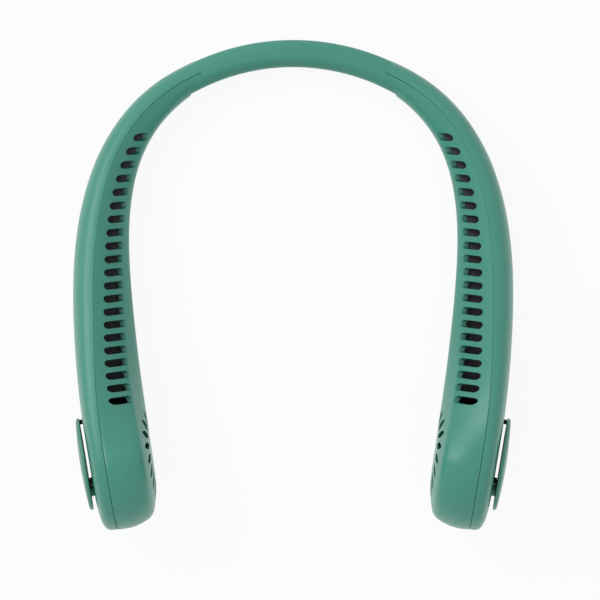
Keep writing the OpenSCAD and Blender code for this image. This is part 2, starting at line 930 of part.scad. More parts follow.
module impeller() {
  cup = can_radius + cup_play;
  color("#2b3033")
    fan_axis()
      union() {
        translate([0, 0, impeller_start])
          ring(cup + cup_wall, cup, cup_end - impeller_start);
        difference() {
          union() {
            translate([0, 0, can_end + touch / 2])
              cylinder(r = cup + cup_play, h = cup_end - can_end - touch / 2, $fn = round_steps);
            translate([0, 0, can_end + touch / 2])
              cylinder(r = post_outer, h = shaft_end - can_end - touch / 2, $fn = round_steps);
          }
          translate([0, 0, can_end])
            cylinder(r = shaft_radius, h = fan_width, $fn = fine_steps);
        }
        translate([0, 0, cup_end - web_thickness])
          ring(impeller_radius, cup + cup_wall / 2, web_thickness);
        for (end = [impeller_start, impeller_end - rim_thickness])
          translate([0, 0, end])
            ring(impeller_radius, rim_inner, rim_thickness);
        for (i = [0:blade_count - 1])
          rotate([0, 0, 360 * i / blade_count])
            translate([0, 0, impeller_start + rim_thickness / 2])
              blade();
      }
}

module scroll() {
  reach = 2 * scroll_radius;
  color("#1b1f20")
    fan_axis()
      difference() {
        translate([0, 0, scroll_start])
          ring(scroll_radius + scroll_wall, scroll_radius, scroll_end - scroll_start);
        rotate([0, 0, 90])
          translate([0, 0, -fan_width])
            linear_extrude(height = 2 * fan_width)
              polygon([
                [0, 0],
                for (a = [scroll_open_from, (scroll_open_from + scroll_open_to) / 2, scroll_open_to])
                  reach * [cos(a), sin(a)],
              ]);
      }
}

// Air duct floor with the cell clips under it
floor_level = 3;
floor_thickness = 1.2;
floor_from = 1.15;
floor_to = 7.72;
floor_rings = 24;
clip_wall = 1;
clip_length = 7;
cell_place = 5.6;
clip_shares = [-0.3, 0.3];
clip_play = 0.15;
cell_shift = 1.4;

function floor_ring(t) = [
  for (v = [floor_level, floor_level + floor_thickness])
    for (inner = [false, true])
      place(t, cavity_u(t, v, inner), 0, v),
];

module floor_plate() {
  last = floor_rings;
  points = [for (i = [0:last]) each floor_ring(floor_from + (floor_to - floor_from) * i / last)];
  order = [0, 1, 3, 2];
  n = len(order);
  walls = [
    for (i = [0:last - 1])
      for (k = [0:n - 1])
        let (a = order[k], b = order[(k + 1) % n])
        each triangles_of(n * i + a, n * i + b, n * (i + 1) + b, n * (i + 1) + a)
  ];
  end = n * last;
  ends = [[0, 2, 3], [0, 3, 1], [end, end + 3, end + 2], [end, end + 1, end + 3]];
  polyhedron(points = points, faces = concat(walls, ends), convexity = 6);
}

cell_drop = cell_radius + clip_play + seat_gap - floor_level;

module cell_frame() {
  arm_frame(cell_place)
    rotate([slope_at(cell_place), 0, 0])
      translate([-cell_shift, 0, -cell_drop])
        rotate([90, 0, 0])
          children();
}

module duct_floor() {
  color("#1b1f20")
    union() {
      floor_plate();
      cell_frame()
        for (share = clip_shares)
          translate([0, 0, share * cell_length - clip_length / 2])
            difference() {
              union() {
                cylinder(r = cell_radius + clip_play + clip_wall, h = clip_length, $fn = round_steps);
                translate([-cell_radius / 2, 0, 0])
                  cube([cell_radius, cell_drop + floor_level + floor_thickness / 2, clip_length]);
              }
              translate([0, 0, -overrun])
                cylinder(r = cell_radius + clip_play, h = clip_length + 2 * overrun, $fn = round_steps);
              translate([-2 * cell_radius, -3 * cell_radius, -overrun])
                cube([4 * cell_radius, 2.5 * cell_radius, clip_length + 2 * overrun]);
            }
    }
}

nub_radius = 2.6;
nub_height = 1;
module battery_cell() {
  color("#2f6f9f")
    cell_frame()
      translate([0, 0, -cell_length / 2])
        union() {
          cylinder(r = cell_radius, h = cell_length - nub_height, $fn = round_steps);
          cylinder(r = nub_radius, h = cell_length, $fn = round_steps);
        }
}

// Lead under the duct floor, along the inner wall
lead_level = 0.6;
lead_from = 0.9;
lead_to_cell = 4.3;
lead_to_board = 6.7;
lead_sides = 8;
lead_sway = 2;
lead_lift = 4;

module arm_lead(end) {
  last = ceil((end - lead_from) * 4);
  first = band_half_angle + lead_reach_angle + lead_gap_angle;
  color("#1d1f20")
    tube(
      [
        [band_radius * sin(first), band_radius * cos(first), band_z - lead_drop],
        for (i = [0:last])
          let (
            t = lead_from + (end - lead_from) * i / last,
            ease = min(1, (t - lead_from) * lead_sway),
            lift = min(1, (t - lead_from) * lead_lift)
          )
          place(
            t,
            ease * (cavity_u(t, lead_level + lead_radius, true) - lead_radius),
            0,
            (1 - lift) * (band_z - lead_drop - middle_at(t)) + lift * lead_level
          )
      ],
      lead_radius, lead_sides
    );
}

// Lead from the motor along a spoke and into the arm, on the outer wall
motor_lead_radius = 0.6;
motor_lead_margin = 0.05;
motor_lead_to_cell = 6.95;
motor_lead_to_board = 7.63;
motor_lead_from_share = 0.35;
motor_lead_past_share = 0.9;
motor_lead_steps = 3;

module motor_lead(end) {
  wall_u = -fan_width / 2 + wall + motor_lead_radius + motor_lead_margin;
  past = runs - motor_lead_past_share * fan_radius / arm_run;
  color("#8a2020")
    tube(
      [
        place(runs, mount_face + board_thickness / 2, -mount_radius - motor_lead_margin, 0),
        place(runs, wall_u, -motor_lead_from_share * fan_radius, 0),
        for (i = [0:motor_lead_steps])
          let (t = past + (end - past) * i / motor_lead_steps)
          place(t, wall_u + (fan_width - width_at(t)) / 2, 0, 0),
      ],
      motor_lead_radius, lead_sides
    );
}

// Block in the arm's mouth that holds the strip
anchor_from = 0.5;
anchor_length = 6.5;
anchor_width = 6.2;
anchor_height = 6.8;

anchor_middle = anchor_from + anchor_length / arm_run / 2;

module band_anchor() {
  color("#23282a")
    difference() {
      translate([0, 0, band_z - middle_at(anchor_middle)])
        arm_frame(anchor_middle)
          cube([anchor_width, anchor_length, anchor_height], center = true);
      translate([0, 0, band_z])
        band_arc(band_half_angle + 2 * strip_reach_angle)
          strip_section(channel_play / 2);
    }
}

// Circuit board and what stands on it, seen along the outer wall
board_length = 15;
board_margin = 1.925;
board_place = cell_place + (cell_length / 2 + board_length / 2 + board_margin) / arm_run;
board_height = 17;
board_depth = 10;
board_sheet = 1.2;
board_low = -16.5;
button_before = 4.25;
button_place = board_place - button_before / arm_run;
button_level = -7;
usb_after = 5.525;
usb_place = board_place + usb_after / arm_run;
usb_level = -6;
usb_height = 8.94;
usb_width = 3.2;
usb_shell = 0.3;
usb_play = 0.2;
usb_tongue = 0.7;
usb_tongue_height = 6.7;
usb_depth = 6.6;
usb_floor = 1;
lens_level = 0;
lens_radius = 1.1;
lens_play = 0.05;
recess_radius = 6;
recess_floor = 1;
button_flange = 0.8;
button_flange_radius = 4.7;
button_play = 0.15;
button_proud = 0.7;
plunger_radius = 1.1;
plunger_play = 0.1;
switch_size = 5.2;
switch_height = 3;
plunger_sink = 1.4;

board_face = board_depth - board_sheet;

module board_frame(t, v) {
  arm_frame(board_place)
    translate([-width_at(board_place) / 2, (t - board_place) * arm_run, v])
      rotate([0, 90, 0])
        children();
}

module main_board() {
  color("#1f5a3a")
    board_frame(board_place, board_low)
      translate([-board_height, -board_length / 2, board_depth - board_sheet])
        cube([board_height, board_length, board_sheet]);
}

module usb_outline(grow) {
  round_end = usb_width / 2;
  reach = usb_height / 2 - round_end;
  for (side = [-1, 1])
    translate([side * reach, 0])
      circle(r = round_end + grow, $fn = fine_steps);
  square([2 * reach, 2 * (round_end + grow)], center = true);
}

usb_front = 0.4;
module usb_port() {
  color("#c4c8ca")
    board_frame(usb_place, usb_level)
      union() {
        translate([0, 0, usb_front])
          difference() {
            linear_extrude(height = board_face - usb_front)
              usb_outline(0);
            translate([0, 0, -overrun])
              linear_extrude(height = usb_depth + overrun)
                usb_outline(-usb_shell);
          }
        translate([-usb_tongue_height / 2, -usb_tongue / 2, usb_front + usb_floor])
          cube([usb_tongue_height, usb_tongue, usb_depth]);
      }
}

module usb_cut() {
  board_frame(usb_place, usb_level)
    translate([0, 0, -overrun])
      linear_extrude(height = board_face)
        usb_outline(usb_play);
}

module button_cut() {
  board_frame(button_place, button_level) {
    translate([0, 0, -overrun])
      cylinder(r = button_radius + button_play, h = board_face, $fn = round_steps);
    translate([0, 0, recess_floor - 2 * overrun])
      cylinder(r = recess_radius, h = 2 * overrun, $fn = round_steps);
  }
}

module lens_cut() {
  board_frame(button_place, lens_level)
    translate([0, 0, -overrun])
      cylinder(r = lens_radius + lens_play, h = board_face, $fn = fine_steps);
}

button_back = recess_floor + wall + seat_gap;
switch_top = board_face - switch_height;

module power_button() {
  color("#4f9482")
    board_frame(button_place, button_level)
      union() {
        translate([0, 0, recess_floor - button_proud])
          cylinder(r = button_radius, h = button_back - recess_floor + button_proud + button_flange / 2, $fn = round_steps);
        translate([0, 0, button_back])
          cylinder(r = button_flange_radius, h = button_flange, $fn = round_steps);
      }
}

module switch_plunger() {
  start = button_back + button_flange;
  color("#e8e4da")
    board_frame(button_place, button_level)
      translate([0, 0, start])
        cylinder(r = plunger_radius, h = switch_top + plunger_sink - start, $fn = fine_steps);
}

module tact_switch() {
  color("#26292b")
    board_frame(button_place, button_level)
      translate([0, 0, switch_top])
        difference() {
          translate([-switch_size / 2, -switch_size / 2, 0])
            cube([switch_size, switch_size, switch_height]);
          translate([0, 0, -overrun])
            cylinder(r = plunger_radius + plunger_play, h = overrun + plunger_sink + 2 * button_travel, $fn = fine_steps);
        }
}

module light_lens() {
  color("#dff3ec")
    board_frame(button_place, lens_level)
      translate([0, 0, lens_front])
        cylinder(r = lens_radius, h = board_face - lens_front - touch, $fn = fine_steps);
}
lens_front = 0.15;

// Both arms
module shell_screws() {
  color("#9a9ea1")
    for (place = screw_places)
      shell_screw(place);
}

band_sleeve();
band_strip();
band_lead();
left_side() outer_shell();  // outer_shell_left
right_side() outer_shell() { usb_cut(); button_cut(); lens_cut(); }  // outer_shell_right
left_side() inner_shell();  // inner_shell_left
right_side() inner_shell();  // inner_shell_right
left_side() cover_plate();  // cover_plate_left
right_side() cover_plate();  // cover_plate_right
left_side() cover_pads();  // cover_pads_left
right_side() cover_pads();  // cover_pads_right
left_side() scroll();  // scroll_left
right_side() scroll();  // scroll_right
left_side() duct_floor();  // duct_floor_left
right_side() duct_floor();  // duct_floor_right
left_side() impeller();  // impeller_left
right_side() impeller();  // impeller_right
left_side() rotor_can();  // rotor_can_left
right_side() rotor_can();  // rotor_can_right
left_side() magnet_ring();  // magnet_ring_left
right_side() magnet_ring();  // magnet_ring_right
left_side() motor_shaft();  // motor_shaft_left
right_side() motor_shaft();  // motor_shaft_right
left_side() bearing();  // bearing_left
right_side() bearing();  // bearing_right
left_side() motor_mount();  // motor_mount_left
right_side() motor_mount();  // motor_mount_right
left_side() stator();  // stator_left
right_side() stator();  // stator_right
left_side() windings();  // windings_left
right_side() windings();  // windings_right
left_side() motor_board();  // motor_board_left
right_side() motor_board();  // motor_board_right
left_side() motor_lead(motor_lead_to_cell);  // motor_lead_left
right_side() motor_lead(motor_lead_to_board);  // motor_lead_right
left_side() battery_cell();  // battery_cell_left
right_side() battery_cell();  // battery_cell_right
left_side() arm_lead(lead_to_cell);  // arm_lead_left
right_side() arm_lead(lead_to_board);  // arm_lead_right
left_side() band_anchor();  // band_anchor_left
right_side() band_anchor();  // band_anchor_right
left_side() shell_screws();  // shell_screws_left
right_side() shell_screws();  // shell_screws_right
right_side() main_board();
right_side() usb_port();
right_side() tact_switch();
right_side() switch_plunger();
right_side() power_button();
right_side() light_lens();
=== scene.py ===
# Electric neck fan: a soft neck band joins two hollow arms that end in round blower housings.
# It lies flat on a pale table and is seen from straight above.
import bisect
import functools
import json
import math
import bmesh
import bpy
from mathutils import Matrix, Vector


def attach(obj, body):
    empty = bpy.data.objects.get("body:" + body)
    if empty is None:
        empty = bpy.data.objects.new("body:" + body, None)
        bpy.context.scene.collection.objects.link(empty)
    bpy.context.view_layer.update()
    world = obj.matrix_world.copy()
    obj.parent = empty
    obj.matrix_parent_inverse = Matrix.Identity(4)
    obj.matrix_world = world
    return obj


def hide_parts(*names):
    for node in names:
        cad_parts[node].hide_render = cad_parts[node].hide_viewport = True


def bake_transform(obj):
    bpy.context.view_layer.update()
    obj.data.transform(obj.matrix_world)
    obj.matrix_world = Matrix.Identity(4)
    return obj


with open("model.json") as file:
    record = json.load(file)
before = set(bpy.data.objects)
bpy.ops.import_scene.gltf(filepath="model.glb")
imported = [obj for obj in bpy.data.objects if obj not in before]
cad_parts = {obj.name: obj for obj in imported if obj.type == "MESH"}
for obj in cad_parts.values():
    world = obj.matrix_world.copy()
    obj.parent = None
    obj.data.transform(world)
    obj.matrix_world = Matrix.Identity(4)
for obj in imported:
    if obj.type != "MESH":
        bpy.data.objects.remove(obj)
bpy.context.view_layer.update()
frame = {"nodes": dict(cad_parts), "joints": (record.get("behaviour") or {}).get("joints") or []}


# Camera: looks straight down from about 2.2 m above the table through a long lens, so the two
# arms show hardly any of their sides.
mm = 0.001
eye = (3.08 * mm, -7.46 * mm, 2231 * mm)
lens_length = 291
film_width = 36
camera_data = bpy.data.cameras.new("camera")
camera_data.lens = lens_length
camera_data.sensor_width = film_width
camera = bpy.data.objects.new("camera", camera_data)
camera.location = eye
bpy.context.scene.collection.objects.link(camera)
bpy.context.scene.camera = camera
bpy.context.scene.view_settings.view_transform = "Standard"


# Table and light: a wide pale table in a white room, with one large soft lamp high on the left,
# so every side that faces left is lighter than its mirror on the other arm.
white = (1, 1, 1, 1)
room_light = 0.545
room_tint = (0.97, 0.985, 1, 1)
lamp_power = 10.2
lamp_size = 1.1
lamp_place = (-1.05, 0.7, 1.15)
table_size = 24
table_level = -0.2 * mm
table_colour = (0.86, 0.86, 0.85, 1)
table_glow = 1.03
table_shadow_share = 0.12


def add(tree, kind, values=None, **settings):
    """A shader node, with its own settings and the values of its sockets."""
    made = tree.nodes.new("ShaderNode" + kind)
    for name, value in settings.items():
        setattr(made, name, value)
    for name, value in (values or {}).items():
        made.inputs[name].default_value = value
    return made


def wire(tree, source, output, target, socket):
    tree.links.new(source.outputs[output], target.inputs[socket])


def seen_directly(tree):
    """A factor of 1 where the room is seen by the camera, in a reflection or through glass."""
    path = add(tree, "LightPath")
    seen, output = path, "Is Camera Ray"
    for ray in ("Is Glossy Ray", "Is Transmission Ray"):
        either = add(tree, "Math", operation="MAXIMUM")
        wire(tree, seen, output, either, 0)
        wire(tree, path, ray, either, 1)
        seen, output = either, 0
    return seen


world = bpy.data.worlds.new("white_room")
bpy.context.scene.world = world
world.use_nodes = True
room = world.node_tree
room.nodes.clear()
room_glow = add(room, "Background", {"Color": room_tint, "Strength": room_light})
room_white = add(room, "Background", {"Color": white, "Strength": 1})
room_mix = add(room, "MixShader")
wire(room, seen_directly(room), 0, room_mix, 0)
wire(room, room_glow, 0, room_mix, 1)
wire(room, room_white, 0, room_mix, 2)
wire(room, room_mix, 0, add(room, "OutputWorld"), 0)

lamp_data = bpy.data.lights.new("soft_lamp", "AREA")
lamp_data.energy = lamp_power
lamp_data.size = lamp_size
lamp = bpy.data.objects.new("soft_lamp", lamp_data)
lamp.location = lamp_place
lamp.rotation_euler = (-Vector(lamp_place)).to_track_quat("-Z", "Y").to_euler()
bpy.context.scene.collection.objects.link(lamp)

bpy.ops.object.select_all(action="DESELECT")
bpy.ops.mesh.primitive_plane_add(size=table_size, location=(0, 0, table_level))
table = bpy.context.active_object
table.name = "table"
table_finish = bpy.data.materials.new("pale_table")
table_finish.use_nodes = True
tree = table_finish.node_tree
tree.nodes.clear()
table_matt = add(tree, "BsdfDiffuse", {"Color": table_colour})
table_white = add(tree, "Emission", {"Color": white, "Strength": table_glow})
table_mix = add(tree, "MixShader")
table_fade = add(tree, "Math", {1: 1 - table_shadow_share}, operation="MULTIPLY")
wire(tree, seen_directly(tree), 0, table_fade, 0)
wire(tree, table_fade, 0, table_mix, 0)
wire(tree, table_matt, 0, table_mix, 1)
wire(tree, table_white, 0, table_mix, 2)
wire(tree, table_mix, 0, add(tree, "OutputMaterial"), 0)
table.data.materials.append(table_finish)


# Arm shells: each arm is an outer and an inner shell of satin green plastic, injection moulded and
# screwed together from the outer side. The parting line runs along the ridge, round the tip and
# back underneath. The inner shell has the row of air slots and the round intake grille.
band_radius = 101 * mm
band_half_angle = 25.8
band_thickness = 12.2 * mm
band_height = 17 * mm
arm_run = 21.25 * mm
arm_width = 29 * mm
fan_radius = 31.5 * mm
wall = 2 * mm
outer_lean = 2
arm_turns = [16.9, 17.7, 14.7, 9.7, 6.4, 3.1, 1.8, 2.1, 1]
runs = len(arm_turns)

# The arm's section at the ends of its runs, from the band to the fan: widths and heights are
# shares of the greatest, the corner is an exponent and the crease's rounding is in millimetres
band_share = band_height / fan_radius / 2
width_shares = [0.444, 0.519, 0.601, 0.702, 0.802, 0.886, 0.944, 0.981, 1, 0.98]
middle_shares = [band_share, 0.335, 0.41, 0.5, 0.6, 0.7, 0.8, 0.888, 0.962, 1]
rise_shares = [band_share, 0.32, 0.39, 0.47, 0.55, 0.62, 0.705, 0.807, 0.92, 1]
drop_shares = [band_share, 0.31, 0.355, 0.4, 0.45, 0.505, 0.587, 0.72, 0.88, 1]
ridge_shares = [0.5, 0.457, 0.432, 0.42, 0.408, 0.385, 0.358, 0.312, 0.275, 0.262]
crease_shares = [0.86, 0.91, 0.935, 0.925, 0.912, 0.89, 0.866, 0.842, 0.847, 0.876]
crease_rise_shares = [0.66, 0.52, 0.38, 0.3, 0.28, 0.29, 0.34, 0.44, 0.63, 0.88]
belly_rise_shares = [0.66, 0.64, 0.62, 0.6, 0.6, 0.62, 0.66, 0.72, 0.8, 0.88]
bow_shares = [0.15, 0.05, 0.03, 0.03, 0.03, 0.03, 0.03, 0.035, 0.06, 0.1]
corner_shares = [0.85, 0.85, 0.82, 0.8, 0.78, 0.75, 0.7, 0.62, 0.54, 0.5]
lean_shares = [0, 0, 0, 0, 0, 0, 0.2, 0.6, 1, 1]
inner_round_shares = [1.3, 1.3, 1.3, 1.3, 1.3, 1.4, 1.6, 2, 2.6, 2.85]
inner_flat_shares = [0.15, 0.15, 0.15, 0.15, 0.15, 0.15, 0.2, 0.3, 0.5, 0.62]
mouth_start_share = -0.1
mouth_slant_share = 0.49
crease_rounds = [1.4, 0.7, 0.45, 0.45, 0.45, 0.45, 0.45, 0.55, 1.2, 2.6]
seam_gap = 0.08 * mm
seam_round = 0.15 * mm

crease_samples = 3
curve_steps = 28
outer_columns = 18
facet_columns = 11
inner_columns = 16
rim_points = 3
rows_per_run = 8
arm_rows = runs * rows_per_run
tip_rows = 36


def turn_of(degrees):
    return math.cos(math.radians(degrees)), math.sin(math.radians(degrees))


def turns(first, last, steps):
    """Directions from one angle to another in even steps, with both ends."""
    return [turn_of(first + (last - first) * k / steps) for k in range(steps + 1)]


def arc_step(heading, turn, length):
    half = math.radians(turn) / 2
    chord = length * math.sin(half) / half if turn else length
    x, y = turn_of(heading + turn / 2)
    return Vector((chord * x, -chord * y))


headings = [band_half_angle + sum(arm_turns[:k]) for k in range(runs + 1)]
y, x = turn_of(band_half_angle)
knots = [Vector((band_radius * x, band_radius * y))]
for k in range(runs):
    knots.append(knots[k] + arc_step(headings[k], arm_turns[k], arm_run))


def smooth(values, t):
    """Smooth value of a list at a place along the arm, counted in runs."""
    last = len(values) - 1
    k = min(max(int(math.floor(t)), 0), last - 1)
    f = t - k
    a, b, c, d = values[max(k - 1, 0)], values[k], values[k + 1], values[min(k + 2, last)]
    return b + f / 2 * (c - a + f * (2 * a - 5 * b + 4 * c - d + f * (3 * (b - c) + d - a)))


def run_of(t):
    return min(max(int(math.floor(t)), 0), runs - 1)


def heading_at(t):
    k = run_of(t)
    return headings[k] + (t - k) * arm_turns[k]


def centre_at(t):
    k = run_of(t)
    return knots[k] + arc_step(headings[k], (t - k) * arm_turns[k], (t - k) * arm_run)


def inward_at(t):
    x, y = turn_of(heading_at(t))
    return Vector((-y, -x))


def along_at(t):
    x, y = turn_of(heading_at(t))
    return Vector((x, -y))


def width_at(t):
    return arm_width * smooth(width_shares, t)


def middle_at(t):
    return fan_radius * smooth(middle_shares, t)


def height_at(t, top):
    return fan_radius * smooth(rise_shares if top else drop_shares, t)


# The arm stands where its wheel's axle is
axle = Vector(next(j["pos_m"] for j in frame["joints"] if j["name"] == "wheel_spin_right"))
hub = centre_at(runs)
shift = axle - Vector((hub.x, hub.y, fan_radius))


def place(t, u, along, v):
    """A point of a section: across, along and up from the middle of the arm."""
    lean = math.tan(math.radians(outer_lean * smooth(lean_shares, t)))
    across = u + lean * v * (0.5 - u / width_at(t))
    flat = centre_at(t) + inward_at(t) * across + along_at(t) * along
    return Vector((flat.x, flat.y, v + middle_at(t))) + shift


def measured(points):
    """A chain of points with its running length."""
    lengths = [0]
    for a, b in zip(points, points[1:]):
        lengths.append(lengths[-1] + (b - a).length)
    return points, lengths


def spot(chain, s):
    points, lengths = chain
    s = min(max(s, 0), lengths[-1])
    i = min(max(bisect.bisect_right(lengths, s) - 1, 0), len(points) - 2)
    return points[i].lerp(points[i + 1], (s - lengths[i]) / (lengths[i + 1] - lengths[i]))


@functools.lru_cache(maxsize=4096)
def section(t, top):
    """Half a section: its outer and its inner side, each up to the seam, and the crease's place."""
    w = width_at(t)
    height = height_at(t, top)
    ridge = smooth(ridge_shares, t) * w
    corner = smooth(corner_shares, t)
    side = w / 2
    crease = Vector((
        (smooth(crease_shares, t) - 0.5) * w,
        smooth(crease_rise_shares if top else belly_rise_shares, t) * height,
    ))
    knee = Vector((side, max(crease.y - smooth(inner_round_shares, t) * (side - crease.x), crease.y / 3)))
    flat = Vector((side, knee.y * smooth(inner_flat_shares, t)))
    seam = Vector((ridge - side, height))
    away = Vector((seam.y - crease.y, crease.x - seam.x)) * smooth(bow_shares, t)
    outer = []
    for x, y in turns(0, 90, 2 * curve_steps):
        outer.append(Vector((ridge * (1 - max(x, 0) ** corner) - side, height * y ** corner)))
    inner = [Vector((side, 0))]
    for i in range(curve_steps):
        f = 1 - i / curve_steps
        inner.append((1 - f) ** 2 * crease + 2 * f * (1 - f) * knee + f * f * flat)
    crease_at = measured(inner + [crease])[1][-1]
    for i in range(curve_steps + 1):
        f = 1 - i / curve_steps
        inner.append(seam.lerp(crease, f) + 4 * f * (1 - f) * away)
    return measured(outer), measured(inner), crease_at


def side_length(t, top, hand):
    """Length of a side of half a section: the hand is 1 for the outer side and -1 for the inner."""
    return section(t, top)[0 if hand > 0 else 1][1][-1]


def skin(t, top, s, hand):
    """A point of a side at a length from its middle line, with the crease rounded off."""
    outer, inner = section(t, top)[:2]
    if hand > 0:
        return spot(outer, s)
    reach = min(smooth(crease_rounds, t) * mm, s, side_length(t, top, hand) - s)
    steps = range(-crease_samples, crease_samples + 1)
    near = [spot(inner, s + reach * k / crease_samples) for k in steps]
    return sum(near, Vector((0, 0))) / len(near)


def stations(t, top, hand):
    """Lengths along a side where the columns of its shell lie."""
    end = side_length(t, top, hand) - seam_gap - seam_round
    if hand > 0:
        return [end * i / outer_columns for i in range(outer_columns + 1)]
    crease_at = section(t, top)[2]
    reach = smooth(crease_rounds, t) * mm
    low = [(crease_at - reach) * i / inner_columns for i in range(inner_columns + 1)]
    bend = [crease_at + reach * k / crease_samples for k in range(1 - crease_samples, crease_samples)]
    high = [
        crease_at + reach + (end - crease_at - reach) * i / facet_columns
        for i in range(facet_columns + 1)
    ]
    return low + bend + high


nudge = 0.25 * mm


def outward(t, top, s, hand):
    """Direction out of a side at a length along it."""
    if s == 0:
        return Vector((-hand, 0))
    after = skin(t, top, min(s + nudge, side_length(t, top, hand)), hand)
    step = after - skin(t, top, s - min(nudge, s), hand)
    return Vector((-step.y, step.x)).normalized() * hand


def shell_spot(t, top, column, hand):
    """A point of a shell's wall: its skin, its rounded rim at the seam, and back along its cavity."""
    marks = stations(t, top, hand)
    last = len(marks) - 1
    if column <= last:
        return skin(t, top, marks[column], hand)
    if column > last + rim_points:
        s = marks[2 * last + rim_points - column]
        return skin(t, top, s, hand) - wall * outward(t, top, s, hand)
    whole = side_length(t, top, hand)
    out = outward(t, top, whole, hand)
    ahead = Vector((out.y, -out.x)) * hand
    corner = skin(t, top, marks[last], hand) - seam_round * out
    if column == last + 1:
        return corner + seam_round * (out + ahead) / math.sqrt(2)
    if column == last + 2:
        return corner + seam_round * ahead
    outer_out = outward(t, top, side_length(t, top, 1), 1)
    inner_out = outward(t, top, side_length(t, top, -1), -1)
    middle = (outer_out + inner_out).normalized()
    return skin(t, top, whole, hand) - wall * middle - seam_gap * Vector((middle.y, -middle.x)) * hand


def mouth_share(t, u):
    """How far a point of the arm's mouth is from the ridge towards the inner side."""
    w = width_at(t)
    ridge = smooth(ridge_shares, t) * w - w / 2
    return (u - ridge) / (w / 2 - ridge)


def select_only(thing):
    bpy.ops.object.select_all(action="DESELECT")
    thing.select_set(True)
    bpy.context.view_layer.objects.active = thing


def wrapped_sheet(name, rows, columns, spot_of):
    """A flat grid laid over a form, with the points that meet joined up."""
    bpy.ops.object.select_all(action="DESELECT")
    bpy.ops.mesh.primitive_grid_add(x_subdivisions=columns, y_subdivisions=rows, size=1)
    sheet = bpy.context.active_object
    sheet.name = name
    for vertex in sheet.data.vertices:
        column = round((vertex.co.x + 0.5) * columns)
        row = round((vertex.co.y + 0.5) * rows)
        vertex.co = spot_of(row, column)
    return sheet


touching = 0.001 * mm
no_length = 0.0001 * mm


def close_up(thing):
    """Joins what meets and turns every face outwards."""
    select_only(thing)
    bpy.ops.object.mode_set(mode="EDIT")
    bpy.ops.mesh.select_all(action="SELECT")
    bpy.ops.mesh.remove_doubles(threshold=touching)
    bpy.ops.mesh.dissolve_degenerate(threshold=no_length)
    bpy.ops.mesh.normals_make_consistent(inside=False)
    bpy.ops.object.mode_set(mode="OBJECT")


def arm_shell(name, hand):
    """One shell of the right arm. The inner one's mouth is slanted, where it meets the sleeve."""
    columns = 2 * (len(stations(1, True, hand)) - 1) + rim_points
    rows = 2 * arm_rows + tip_rows

    def spot_of(row, column):
        top = row <= rows / 2
        ring = min(row, rows - row, arm_rows)
        start = mouth_start_share
        if hand < 0:
            u = shell_spot(0, top, min(column, columns - column), hand).x
            start += mouth_slant_share * mouth_share(0, u)
        t = start + (runs - start) * ring / arm_rows
        swing = 90 - 180 * min(max(row - arm_rows, 0), tip_rows) / tip_rows
        point = shell_spot(t, top, column, hand)
        along, up = turn_of(swing)
        return place(t, point.x, point.y * along, point.y * up)

    shell = wrapped_sheet(name, rows, columns, spot_of)
    mesh = bmesh.new()
    mesh.from_mesh(shell.data)
    mesh.verts.ensure_lookup_table()
    for row in (0, rows):
        line = mesh.verts[row * (columns + 1):(row + 1) * (columns + 1)]
        for j in range(len(line) // 2 - 1):
            mesh.faces.new((line[j], line[j + 1], line[columns - 1 - j], line[columns - j]))
    mesh.to_mesh(shell.data)
    mesh.free()
    close_up(shell)
    return shell


def arm_frame(t):
    """The arm's own axes at a place along it: across to the inner side, along, and up."""
    centre = centre_at(t)
    lift = Matrix.Translation(Vector((centre.x, centre.y, middle_at(t))) + shift)
    return lift @ Matrix.Rotation(math.radians(270 - heading_at(t)), 4, "Z")


def turned(degrees, axis):
    return Matrix.Rotation(math.radians(degrees), 4, axis)


def moved(x, y, z):
    return Matrix.Translation((x, y, z))


def prism(outline, where, depth):
    """A solid to cut with: an outline in its own X and Y, run along its own Z."""
    bpy.ops.object.select_all(action="DESELECT")
    bpy.ops.mesh.primitive_circle_add(vertices=len(outline), radius=1, fill_type="NGON")
    solid = bpy.context.active_object
    for vertex, (x, y) in zip(solid.data.vertices, outline):
        vertex.co = (x, y, 0)
    bpy.ops.object.mode_set(mode="EDIT")
    bpy.ops.mesh.select_all(action="SELECT")
    bpy.ops.mesh.extrude_region_move(TRANSFORM_OT_translate={"value": (0, 0, depth)})
    bpy.ops.mesh.select_all(action="SELECT")
    bpy.ops.mesh.normals_make_consistent(inside=False)
    bpy.ops.object.mode_set(mode="OBJECT")
    solid.data.transform(where)
    return solid


def joined(solids):
    select_only(solids[0])
    for solid in solids:
        solid.select_set(True)
    bpy.ops.object.join()
    return bpy.context.active_object


def combined(thing, solids, operation):
    tool = joined(solids)
    select_only(thing)
    bpy.ops.object.modifier_add(type="BOOLEAN")
    work = thing.modifiers[-1]
    work.operation = operation
    work.solver = "EXACT"
    work.object = tool
    bpy.ops.object.modifier_apply(modifier=work.name)
    bpy.data.objects.remove(tool)


def cut_away(thing, solids):
    combined(thing, solids, "DIFFERENCE")


def round_outline(radius, steps):
    return [(radius * x, radius * y) for x, y in turns(0, 360, steps)[:-1]]


def mirrored(thing, name):
    """The same piece for the left arm, with its own mesh."""
    twin = thing.copy()
    twin.data = thing.data.copy()
    twin.name = name
    bpy.context.scene.collection.objects.link(twin)
    twin.data.transform(Matrix.Diagonal((-1, 1, 1, 1)))
    twin.data.flip_normals()
    return twin


def smooth_off(thing, angle=32):
    """Smooth faces, with real edges kept where the form turns sharply."""
    select_only(thing)
    bpy.ops.object.shade_smooth_by_angle(angle=math.radians(angle))
    bpy.ops.object.modifier_add(type="WEIGHTED_NORMAL")
    thing.modifiers[-1].keep_sharp = True
    bpy.ops.object.modifier_apply(modifier=thing.modifiers[-1].name)


